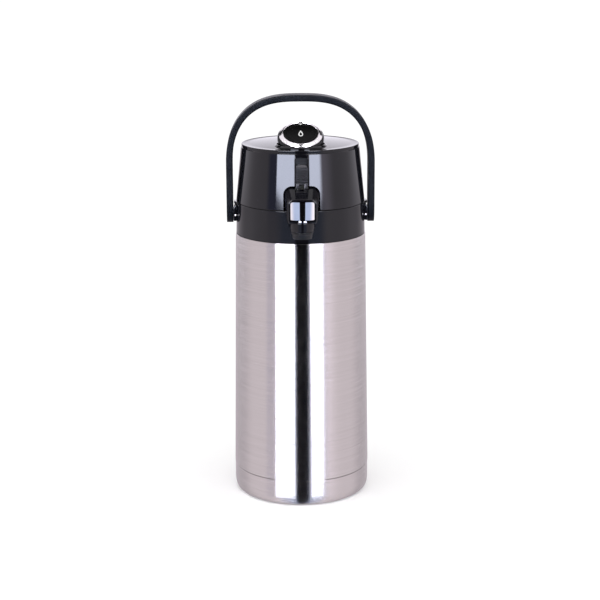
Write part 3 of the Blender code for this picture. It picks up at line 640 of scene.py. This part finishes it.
def make_panel():
    """Chrome panel in the hood's window, bulged across and trimmed to a round-topped arch."""
    half = panel_high.x
    bulge = 26.0               # radius of the bulge
    sweep = math.degrees(math.asin(half / bulge))
    crest = panel_low.y
    face = arc(0, crest + bulge, bulge, bulge, -90 - sweep, -90 + sweep, 40)
    rim = [(half, panel_high.y), (-half, panel_high.y)]
    low_z, high_z = panel_low.z, panel_high.z
    levels = [(low_z, 0.35), (low_z + 0.12, 0.1), (low_z + 0.4, 0.0), (high_z, 0.0)]
    sections = [[(x, y + push, z) for x, y in face] + [(x, y, z) for x, y in rim]
                for z, push in levels]
    panel = loft("spout_mirror", sections, angle=40)
    carve(panel, prism("panel_trim", arch(half - 0.05, high_z - 0.05, 3.0, low_z - 5),
                       (crest - 5, crest + 8)), how="INTERSECT", angle=40)
    dress(panel, CHROME, "pot", "chrome", "spout_panel")


def make_spout():
    """Bright ring, barrel and nozzle, one below another under the hood."""
    low, high = trim_low.z, trim_high.z
    trim = lathe("spout_trim", [(8.5, high), (trim_high.x, high, 0.6), (trim_high.x, low, 0.6),
                                (8.5, low)], at(y=SPOUT_Y), 96)
    dress(trim, CHROME, "pot", "chrome", "spout_ring")

    low, high = barrel_low.z, barrel_high.z
    barrel = lathe("spout_sleeve", [
        (0, high), (BARREL_R, high, 0.5), (BARREL_R, low + 2.2, 0.4),
        (BARREL_R - 0.35, low + 1.9, 0.3), (BARREL_R - 0.35, low, 0.5), (9.4, low),
        (9.4, high - 1.1), (0, high - 1.1)], at(y=SPOUT_Y), 128)
    carve(barrel, rod("inlet", 3.5, 60.0, 72.0, DUCT_FRAME, 48))
    dress(barrel, GLOSS_BLACK, "pot", "gloss_black", "spout_barrel")

    low, high = nozzle_low.z, nozzle_high.z
    nozzle = lathe("spout_tip", [
        (5.2, high), (nozzle_high.x, high, 0.5), (nozzle_high.x - 0.5, high - 2.0, 0.2),
        (nozzle_high.x - 0.9, high - 2.1, 0.2), (9.0, low, 0.6), (4.6, low, 0.5), (4.6, low + 1.5),
        (5.2, low + 1.7)], at(y=SPOUT_Y), 128)
    dress(nozzle, MATT_BLACK, "pot", "matt_black", "spout_nozzle")


# ---- lid ----
def lid_radius(z):
    """Outer radius of the lid's cone at a height."""
    slope = (LID_RIM_R - LID_BOTTOM_R) / (LID_RIM_Z - LID_FOOT_Z)
    return LID_BOTTOM_R + slope * (z - LID_FOOT_Z)


LATCH_Z = 322.0                # middle of the latch, on the lid's slope
LATCH_FRAME = at(0, -lid_radius(LATCH_Z), LATCH_Z, rx=-LID_SLOPE)
CROWN_R = 53.5                 # edge of the domed top
KNOB_HOLE_R = 22.7
LID_SCREW_RING_R = 50.0        # circle on which the three lid screws stand


def crown(r):
    """Height of the domed top at a radius."""
    low = LID_BEAD_Z - 0.4
    return low + (LID_CROWN_Z - low) * (1 - (r / CROWN_R) ** 2)


def hood_notch(name, back_y):
    """Cutter that leaves room for the hood in a piece of the lid."""
    return prism(name, arch(HOOD_HALF + 0.4, HOOD_TOP_Z + 0.4, 8.3, 280.0), (-75.0, back_y))


def make_lid_shell():
    """Conical lid with a domed top, the knob's guide and lip, and the hinge arm."""
    roof = LID_BEAD_Z - 2.4
    wall = 2.0
    lid = lathe("lid_dome", [
        *[(r, crown(r)) for r in (*range(0, 54, 6), CROWN_R)],
        (54.6, LID_BEAD_Z, 0.5), (56.1, LID_BEAD_Z, 1.3), (55.9, LID_RIM_Z + 0.2, 0.25),
        (LID_RIM_R, LID_RIM_Z - 0.3, 0.35), (LID_BOTTOM_R, LID_FOOT_Z, 0.5),
        (LID_BOTTOM_R - wall, LID_FOOT_Z, 0.4), (LID_RIM_R - wall + 0.1, LID_RIM_Z - 2.0, 1.0),
        (LID_RIM_R - 3.8, roof), (0, roof)], steps=256)
    arm = block("hinge_arm", (-13.4, 59.0, LID_FOOT_Z + 0.5), (13.4, HINGE_Y, LID_FOOT_Z + 3.1))
    knuckle = rod("lid_knuckle", HINGE_R, -14.0, 14.0, HINGE_FRAME, 48, 0.5)
    guide = rod("knob_guide", 24.4, 327.0, roof + 1.0, at(y=KNOB_Y), 100)
    lip_z = crown(25)
    lip = lathe("knob_lip", [
        (20.0, roof + 1.0), (20.0, lip_z + 0.9), (23.2, lip_z + 0.9, 0.4), (24.6, lip_z - 0.4),
        (24.6, roof + 1.0)], at(y=KNOB_Y), 130)
    weld(lid, arm, knuckle, guide, lip)
    hole = rod("knob_hole", KNOB_HOLE_R, 320.0, 360.0, at(y=KNOB_Y), 120)
    bore = rod("hinge_bore", HINGE_PIN_R + GAP, -30.0, 30.0, HINGE_FRAME, 32)
    notch = hood_notch("hood_notch", -52.9)
    opening_outline = soften([(-6.5, -12.5), (6.5, -12.5), (6.5, 15.6, 3.5), (-6.5, 15.6, 3.5)],
                             True, 6)
    opening = prism("channel", opening_outline, (-8.0, 3.0), LATCH_FRAME)
    carve(lid, hole, bore, notch, opening)
    dress(lid, GLOSS_BLACK, "lid", "gloss_black", "lid_shell")


def make_lid_floor():
    """Floor plate of the lid, with its three cross-head screws."""
    top = LID_FOOT_Z + 2.9
    low = LID_FOOT_Z + 0.3
    plate = lathe("lid_floor", [
        (3.2, top), (58.4, top, 0.4), (58.4, low, 0.5), (54.0, low, 0.3), (53.4, low + 0.8, 0.3),
        (44.0, low + 0.8, 0.3), (43.4, low, 0.3), (3.2, low, 0.3)], steps=160)
    cuts = [hood_notch("floor_notch", -52.7),
            rod("air_hole", 2.9, 280.0, 300.0, at(y=KNOB_Y), 32)]
    for name, angle in (("right", 20.0), ("rear", 90.0), ("left", 160.0)):
        x = LID_SCREW_RING_R * math.cos(math.radians(angle))
        y = LID_SCREW_RING_R * math.sin(math.radians(angle))
        cuts.append(rod("screw_hole", SCREW_HOLE_R, 280.0, 300.0, at(x, y), 24))
        screw = lathe("floor_screw_" + name, [
            (0, 301.0), (1.2, 301.0, 0.4), (1.2, LID_FOOT_Z), (2.8, LID_FOOT_Z, 0.3),
            (2.6, LID_FOOT_Z - 1.0, 0.4), (1.6, LID_FOOT_Z - 1.6, 0.5), (0, LID_FOOT_Z - 1.6)],
            at(x, y), 40)
        carve(screw, block("cross_a", (-1.6, -0.3, 280.0), (1.6, 0.3, LID_FOOT_Z - 1.0), at(x, y)),
              block("cross_b", (-0.3, -1.6, 280.0), (0.3, 1.6, LID_FOOT_Z - 1.0), at(x, y)))
        dress(screw, PIN_STEEL, "lid", "pin_steel", "lid_screw_" + name)
    carve(plate, *cuts)
    dress(plate, MATT_BLACK, "lid", "matt_black", "lid_base")


def make_lid_gasket():
    """Ring under the floor plate, with two lips that reach down to the riser cap."""
    gasket = lathe("lid_seal", [
        (36.0, LID_FOOT_Z), (42.0, LID_FOOT_Z, 0.3), (42.6, JOINT_Z - 3.0, 0.4),
        (42.0, JOINT_Z - 4.6, 0.8), (40.2, JOINT_Z - 4.6, 0.6), (39.6, JOINT_Z - 3.4, 0.5),
        (38.4, JOINT_Z - 3.4, 0.5), (37.8, JOINT_Z - 4.6, 0.6), (36.0, JOINT_Z - 4.6, 0.8)],
        steps=160)
    dress(gasket, SILICONE, "lid", "seal_rubber", "lid_gasket")


# ---- knob ----
FACE_FRAME = at(0, KNOB_Y, KNOB_FACE_Z, rx=KNOB_TILT)


def make_knob():
    """Push knob: level rings at its foot, rings tilted with the face at its top."""
    sides = 128
    angles = [2 * math.pi * k / sides for k in range(sides)]

    def level(r, z):
        return [(r * math.cos(a), KNOB_Y + r * math.sin(a), z) for a in angles]

    def tilted(r, h):
        return [tuple(FACE_FRAME @ Vector((r * math.cos(a), r * math.sin(a), h))) for a in angles]

    low = knob_low.z
    sections = [level(20.9, low), level(21.3, low + 0.5), level(21.3, 334.0), level(21.3, 338.0),
                tilted(21.35, -6.0), tilted(21.6, -5.3), tilted(22.0, -4.6), tilted(22.0, -2.6),
                tilted(21.85, -1.6), tilted(21.5, -0.8), tilted(21.0, -0.2), tilted(20.6, 0.0)]
    knob = loft("knob_cap", sections, angle=35)
    hollow = rod("knob_hollow", 19.3, 320.0, 332.0, at(y=KNOB_Y), 96)
    boss = lathe("knob_boss", [(1.2, 334.0), (4.0, 334.0), (4.0, low), (1.2, low)],
                 at(y=KNOB_Y), 32)
    carve(knob, hollow)
    weld(knob, boss)
    dress(knob, GLOSS_BLACK, "knob", "gloss_black", "knob_body")


def make_lock_ring():
    """Bevelled ring with an index slot between two groups of three dimples."""
    dimple_r = 19.1
    ring = lathe("knob_lock_ring", [
        (16.3, 2.3, 0.3), (17.0, 2.8, 0.4), (17.9, 2.5, 0.3), (20.4, 1.0, 0.4), (20.5, GAP, 0.1),
        (16.3, GAP)], FACE_FRAME, STEPS)
    cuts = [block("index_slot", (-2.1, -22.0, 0.9), (2.1, -17.9, 5.0), FACE_FRAME, 0.2)]
    for angle in (-140, -128, -116, -64, -52, -40):
        x = dimple_r * math.cos(math.radians(angle))
        y = dimple_r * math.sin(math.radians(angle))
        cuts.append(rod("dimple", 0.45, 1.3, 4.0, FACE_FRAME @ at(x, y), 16))
    carve(ring, *cuts)
    dress(ring, RING_CHROME, "knob_ring", "chrome", "lock_ring")


PRINT_Z = 2.22                 # underside of the marks, just above the disc
PRINT_T = 0.12


def make_knob_disc():
    """Black disc inside the ring, with a fine groove in it."""
    disc = lathe("knob_label", [
        (0, 2.2), (12.8, 2.2), (13.1, 2.0, 0.1), (13.4, 2.0, 0.1), (13.7, 2.2), (15.9, 2.2, 0.3),
        (15.9, GAP, 0.1), (0, GAP)], FACE_FRAME, STEPS)
    dress(disc, LABEL_BLACK, "knob", "gloss_black", "knob_disc")


def make_marks():
    """White wedge and white outline of a drop, printed on the knob's disc."""
    wedge = prism("index_mark", [(-2.5, 0.6), (2.5, 0.6), (0, 2.7)], (PRINT_Z, PRINT_Z + PRINT_T),
                  FACE_FRAME @ at(y=15.9, rx=90))
    dress(wedge, PRINT_WHITE, "knob", "gloss_black")

    drop = []
    for k in range(48):
        a = 2 * math.pi * k / 48
        width = 3.1 * math.sin(a) * math.sin(a / 2) ** 1.4
        drop.append((width, 4.6 * math.cos(a)))
    hollow = [(x * 0.62, y * 0.62 - 0.7) for x, y in drop]
    bm = bmesh.new()
    rings = []
    for lift, shape in ((0.0, drop), (PRINT_T, drop), (PRINT_T, hollow), (0.0, hollow)):
        rings.append([bm.verts.new((x, y, PRINT_Z + lift)) for x, y in shape])
    skin(bm, rings, closed_path=True)
    mark = piece_from(bm, "drop_mark", FACE_FRAME)
    dress(mark, PRINT_WHITE, "knob", "gloss_black")


# ---- latch ----
def make_latch():
    """Ribbed slider with two prongs at its foot; its outline is cut to a round-topped arch."""
    rib_pitch = 1.75
    side = [(4.8, -9.5), (-1.2, -9.5, 0.4)]
    for i in range(7):
        z = -7.3 + rib_pitch * i
        side += [(-1.3, z, 0.15), (-2.1, z + 0.45, 0.2), (-2.1, z + 0.95, 0.2),
                 (-1.3, z + 1.4, 0.15)]
    side += [(-1.5, 6.4, 0.4), (-0.2, 9.4, 0.6), (4.8, 9.4)]
    outline = soften(side, True, 3)
    sections = [[(x, y, z) for y, z in outline] for x in (-5.75, 5.75)]
    slider = loft("latch_button", sections, LATCH_FRAME, angle=30)
    trim = prism("latch_outline", arch(5.7, 9.2, 4.4, -20.0, count=14), (-6.0, 8.0), LATCH_FRAME)
    carve(slider, trim, how="INTERSECT")
    prongs = []
    for sign in (-1, 1):
        low, high = sorted((sign * 2.3, sign * 5.2))
        prongs.append(block("prong", (low, -1.9, -13.2), (high, 0.6, -8.0), LATCH_FRAME, 0.3))
    weld(slider, *prongs)
    carve(slider, block("spring_pocket", (-2.3, 1.6, -6.2), (2.3, 8.0, 6.2), LATCH_FRAME))
    edge = slider.modifiers.new("edges", "BEVEL")
    edge.width = 0.22 * MM
    edge.segments = 2
    edge.limit_method = "ANGLE"
    edge.angle_limit = math.radians(60)
    dress(slider, LATCH_BLACK, "latch", "matt_black", "latch_slider")


def make_soft_parts():
    """The bellows and the springs keep their CAD shape and do not flatten; each is copied from its
    node, given its finish and hung on the lid.
    """
    pump_low, pump_high = box_mm("bellows")
    pump_foot = Vector((0, KNOB_Y, pump_low.z))
    pump_keep = 1 - JOINT_TRAVEL["knob_press"] / (pump_high.z - pump_low.z)
    pump = ("knob_press", (0, 0, 1), pump_foot, pump_keep)
    slope = (LATCH_FRAME.to_3x3() @ Vector((0, 0, 1)))[:]
    slope_top = LATCH_FRAME @ Vector((0, 3.4, 4.4))
    coil_length = 10.6
    latch = ("latch_slide", slope, slope_top, 1 - JOINT_TRAVEL["latch_slide"] / coil_length)
    for node, name, finish, slot, (joint, axis, anchor, keep) in (
            ("bellows", "pump_bellows", SILICONE, "seal_rubber", pump),
            ("pump_spring", "pump_coil", PIN_STEEL, "pin_steel", pump),
            ("latch_spring", "latch_coil", PIN_STEEL, "pin_steel", latch)):
        piece = bpy.data.objects.new(name, frame["nodes"][node].data.copy())
        bpy.context.scene.collection.objects.link(piece)
        piece.data.materials.clear()
        piece.data.materials.append(finish)
        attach(piece, "lid")
        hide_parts(node)
        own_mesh(piece)


# ---- handle ----
STRAP_T = 6.2
STRAP_HALF_W = 10.0
BEND_Z = 324.0                 # where the straps start to bend inwards
EYE_R = 4.5                    # hole for the pivot bush


def handle_line():
    """Middle line of the bail: straight straps, then a flattened arch."""
    side_x = handle_high.x - STRAP_T / 2
    top_z = handle_high.z - STRAP_T / 2 - 0.01
    low = handle_low.z + 0.02
    end = PIVOT_Z - low
    strap = [low + end * (1 - math.cos(math.radians(a))) for a in (0, 8, 16, 26, 38, 52, 68, 90)]
    strap += [PIVOT_Z + 8, 296.0, 308.0, 316.0, 321.0]
    across = 2 / 2.8
    upwards = 2 / 2.3
    count = 84
    bow = []
    for i in range(count + 1):
        t = math.pi * (1 - i / count)
        c = math.cos(t)
        bow.append((side_x * math.copysign(abs(c) ** across, c),
                    BEND_Z + (top_z - BEND_Z) * math.sin(t) ** upwards))
    left = [(-side_x, z) for z in strap]
    return left + bow + [(-x, z) for x, z in reversed(left)]


def make_handle():
    """Flat strap along the handle's line, its two ends narrowed to a half ellipse."""
    half_t = STRAP_T / 2
    path = [Vector((x, 0, z)) for x, z in handle_line()]
    sections = []
    for i, point in enumerate(path):
        along = (path[min(i + 1, len(path) - 1)] - path[max(i - 1, 0)]).normalized()
        out = Vector((-along.z, 0, along.x))
        drop = max(PIVOT_Z - point.z, 0.0) / (PIVOT_Z - handle_low.z + 0.15)
        width = STRAP_HALF_W * math.sqrt(1 - drop ** 2)
        soft = min(1.1, width * 0.6)
        rim = soften([(half_t, width, soft), (-half_t, width, soft), (-half_t, -width, soft),
                      (half_t, -width, soft)], True, 5)
        sections.append([tuple(point + out * o + Vector((0, w, 0))) for o, w in rim])
    handle = loft("carry_handle", sections, angle=40)
    eyes = [rod("eye", EYE_R, 60.0, 80.0, at(z=PIVOT_Z, ry=side * 90), 64) for side in (-1, 1)]
    carve(handle, *eyes, angle=40)
    dress(handle, HANDLE_BLACK, "bail", "handle_black", "handle")


def make_pivots():
    """Bush, pivot pin and cross dowel on each side of the handle."""
    outer_x = handle_high.x
    inner_x = outer_x - STRAP_T
    bush_r = EYE_R - GAP
    end = LUG_HALF_Y + 0.6
    for name, side in (("left", -1), ("right", 1)):
        turn = at(z=PIVOT_Z, ry=side * 90)
        bush = lathe("pivot_bush_" + name, [
            (PIN_R + GAP, outer_x - 0.2, 0.2), (bush_r, outer_x - 0.2, 0.3),
            (bush_r, inner_x + 0.2, 0.3), (PIN_R + GAP, inner_x + 0.2, 0.2)], turn, 64)
        dress(bush, NATURAL, "bail", "natural_plastic", "handle_bush_" + name)
        pin = lathe("pivot_pin_" + name, [
            (0, outer_x - 0.4), (1.3, outer_x - 0.5), (2.1, outer_x - 0.9, 0.4),
            (PIN_R, outer_x - 1.5, 0.3), (PIN_R, 60.7, 0.2), (0, 60.7)], turn, 64)
        across = at(side * DOWEL_X, 0, DOWEL_Z, rx=90)
        carve(pin, rod("groove", DOWEL_R + GAP, -8.0, 8.0, across, 32))
        dress(pin, PIN_STEEL, "pot", "pin_steel", "handle_pin_" + name)
        dowel = lathe("cross_dowel_" + name, [
            (0, end), (0.6, end - 0.1), (1.0, end - 0.4), (DOWEL_R, end - 0.9, 0.3),
            (DOWEL_R, 0.9 - end, 0.3), (1.0, 0.4 - end), (0.6, 0.1 - end), (0, -end)], across, 48)
        dress(dowel, PIN_STEEL, "pot", "pin_steel", "pin_dowel_" + name)


# ---- studio ----
class WorldNodes:
    """Arithmetic on sockets for the studio's surroundings."""

    def __init__(self, world):
        self.nodes = world.node_tree.nodes
        self.links = world.node_tree.links

    def value(self, operation, *inputs):
        node = self.nodes.new("ShaderNodeMath")
        node.operation = operation
        for socket, entry in zip(node.inputs, inputs):
            if isinstance(entry, (int, float)):
                socket.default_value = entry
            else:
                self.links.new(entry, socket)
        return node.outputs["Value"]

    def step(self, entry, start, end):
        """Smooth ramp from 0 at start to 1 at end."""
        node = self.nodes.new("ShaderNodeMapRange")
        node.interpolation_type = "SMOOTHSTEP"
        node.inputs["From Min"].default_value = min(start, end)
        node.inputs["From Max"].default_value = max(start, end)
        node.inputs["To Min"].default_value = 0.0 if start < end else 1.0
        node.inputs["To Max"].default_value = 1.0 if start < end else 0.0
        self.links.new(entry, node.inputs["Value"])
        return node.outputs["Result"]

    def band(self, entry, low, high, edge):
        """1 between low and high, 0 outside, with soft edges."""
        rise = self.step(entry, low - edge, low + edge)
        fall = self.step(entry, high + edge, high - edge)
        return self.value("MULTIPLY", rise, fall)

    def blend(self, factor, under, over):
        node = self.nodes.new("ShaderNodeMix")
        node.data_type = "RGBA"
        for name, entry in (("A", under), ("B", over)):
            if isinstance(entry, tuple):
                node.inputs[name].default_value = (*entry, 1)
            else:
                self.links.new(entry, node.inputs[name])
        self.links.new(factor, node.inputs["Factor"])
        return node.outputs["Result"]


# Edges of the soft boxes and of the dark gap between them, in degrees.
BOX_FOOT = 0.5                 # height of the boxes' lower edge above the horizon
BOX_TOP = (60.0, 72.0)         # heights between which the boxes fade out
LEFT_BOX = (-45.5, -12.0)
RIGHT_BOX_START = (14.7, 16.3)
RIGHT_BOX_END = (33.0, 41.0)
GAP_SIDES = (-10.5, 12.8)

# Colours of the surroundings, as glossy rays meet them.
WALL = (1.0, 0.93, 1.0)
RIGHT_WALL = (1.15, 1.07, 1.15)
RIGHT_GLOW = (2.6, 2.4, 2.9)
LEFT_SHADE = (0.36, 0.38, 0.62)
REAR_FLOOR = (0.66, 0.61, 0.66)
REAR_GLOW = (1.4, 1.36, 1.5)
FRONT_FLOOR = (0.5, 0.58, 0.8)
BOX_LIGHT = (8.6, 8.4, 8.8)
BOX_BELT = (17.0, 18.0, 22.0)
DARK_GAP = (0.004, 0.004, 0.005)
SOFT_WHITE = (1.12, 1.12, 1.12)


def studio_walls(tools, turn, rise):
    """Walls and floor round the pot: a glow low on the right, shade low on the left."""
    right = tools.step(turn, 20.0, 36.0)
    level = tools.value("MULTIPLY", tools.step(turn, 80.0, 40.0), right)
    colour = tools.blend(level, WALL, RIGHT_WALL)
    near = tools.value("MULTIPLY", tools.step(turn, 66.0, 36.0), tools.band(rise, -4.0, 6.0, 3.0))
    colour = tools.blend(tools.value("MULTIPLY", near, right), colour, RIGHT_GLOW)
    shadow = tools.value("MULTIPLY", tools.band(turn, -62.0, -40.0, 5.0),
                         tools.band(rise, -7.0, 10.0, 5.0))
    colour = tools.blend(shadow, colour, LEFT_SHADE)

    behind = tools.value("ADD", tools.step(turn, -95.0, -125.0), tools.step(turn, 95.0, 125.0))
    rear_floor = tools.value("MULTIPLY", behind, tools.step(rise, -3.0, -8.0))
    colour = tools.blend(rear_floor, colour, REAR_FLOOR)
    rear_glow = tools.value("MULTIPLY", behind, tools.band(rise, -4.0, 17.0, 4.0))
    colour = tools.blend(rear_glow, colour, REAR_GLOW)
    front_floor = tools.value("MULTIPLY", tools.band(turn, -40.0, 40.0, 10.0),
                              tools.step(rise, BOX_FOOT, BOX_FOOT - 0.5))
    return tools.blend(front_floor, colour, FRONT_FLOOR)


def soft_boxes(tools, turn, rise, colour):
    """Tall lights over the walls' colour, brighter in a belt near the horizon, and the gap."""
    height = tools.value("MULTIPLY", tools.step(rise, BOX_FOOT - 0.3, BOX_FOOT + 0.3),
                         tools.step(rise, BOX_TOP[1], BOX_TOP[0]))
    belt = tools.step(rise, 12.0, 5.0)
    bright = tools.blend(belt, BOX_LIGHT, BOX_BELT)
    left_box = tools.value("MULTIPLY", tools.band(turn, *LEFT_BOX, 0.8), height)
    colour = tools.blend(left_box, colour, bright)
    right_sides = tools.value("MULTIPLY", tools.step(turn, *RIGHT_BOX_START),
                              tools.step(turn, RIGHT_BOX_END[1], RIGHT_BOX_END[0]))
    colour = tools.blend(tools.value("MULTIPLY", right_sides, height), colour, bright)
    return tools.blend(tools.band(turn, *GAP_SIDES, 1.2), colour, DARK_GAP)


def make_surroundings():
    """White studio with tall soft boxes left and right of the camera and a dark gap between.

    Only glossy rays see it; the camera and the diffuse light see an even white. Turn is measured
    from the pot's front to its right, and rise from the horizon, both in degrees.
    """
    world = bpy.data.worlds.new("studio")
    bpy.context.scene.world = world
    world.use_nodes = True
    tools = WorldNodes(world)
    tools.nodes.clear()
    place = tools.nodes.new("ShaderNodeTexCoord")
    split = tools.nodes.new("ShaderNodeSeparateXYZ")
    tools.links.new(place.outputs["Generated"], split.inputs["Vector"])
    x, y, z = (split.outputs[name] for name in "XYZ")
    forward = tools.value("MULTIPLY", y, -1.0)
    turn = tools.value("DEGREES", tools.value("ARCTAN2", x, forward))
    rise = tools.value("DEGREES", tools.value("ARCSINE", z))
    colour = soft_boxes(tools, turn, rise, studio_walls(tools, turn, rise))
    rays = tools.nodes.new("ShaderNodeLightPath")
    final = tools.blend(rays.outputs["Is Glossy Ray"], SOFT_WHITE, colour)
    shader = tools.nodes.new("ShaderNodeBackground")
    output = tools.nodes.new("ShaderNodeOutputWorld")
    tools.links.new(final, shader.inputs["Color"])
    tools.links.new(shader.outputs["Background"], output.inputs["Surface"])
    world.cycles.sampling_method = "NONE"


def make_floor():
    bm = bmesh.new()
    bmesh.ops.create_grid(bm, x_segments=4, y_segments=4, size=20.0)
    floor = piece_from(bm, "floor")
    finish = Finish("pale_floor", 0.9, specular=0.0)
    finish.tint(finish.noise(3.0, 3.0), (0.93, 0.93, 0.93), (0.94, 0.94, 0.94))
    floor.data.materials.append(finish.mat)
    floor.visible_glossy = False


CAMERA_YAW = -1.2              # round the pot, degrees
CAMERA_DIP = 13.98             # below the horizon, degrees
CAMERA_ROLL = -0.25
CAMERA_PLACE = (-0.00081, -1.4238, 0.5433)      # metres, before the yaw


def make_camera():
    data = bpy.data.cameras.new("camera")
    data.lens = 90.0
    data.sensor_width = 36.0
    data.clip_end = 100.0
    camera = bpy.data.objects.new("camera", data)
    bpy.context.scene.collection.objects.link(camera)
    yaw = Matrix.Rotation(math.radians(CAMERA_YAW), 4, "Z")
    roll = Matrix.Rotation(math.radians(CAMERA_ROLL), 4, "Z")
    pitch = Matrix.Rotation(math.radians(90.0 - CAMERA_DIP), 4, "X")
    camera.matrix_world = yaw @ Matrix.Translation(CAMERA_PLACE) @ pitch @ roll
    bpy.context.scene.camera = camera


def make_lights():
    data = bpy.data.lights.new("overhead", "AREA")
    data.shape = "RECTANGLE"
    data.size = 2.5
    data.size_y = 2.5
    data.energy = 6.0
    lamp = bpy.data.objects.new("overhead", data)
    bpy.context.scene.collection.objects.link(lamp)
    lamp.location = (0.0, -0.3, 2.6)
    lamp.visible_glossy = False
    lamp.visible_camera = False


finish_inner_nodes()
make_body()
make_collar()
make_deck_and_hinge_pin()
make_riser()
make_hood()
make_panel()
make_spout()
make_lid_shell()
make_lid_floor()
make_lid_gasket()
make_knob()
make_lock_ring()
make_knob_disc()
make_marks()
make_latch()
make_soft_parts()
make_handle()
make_pivots()
make_surroundings()
make_floor()
make_camera()
make_lights()
bpy.context.scene.view_settings.view_transform = "Standard"
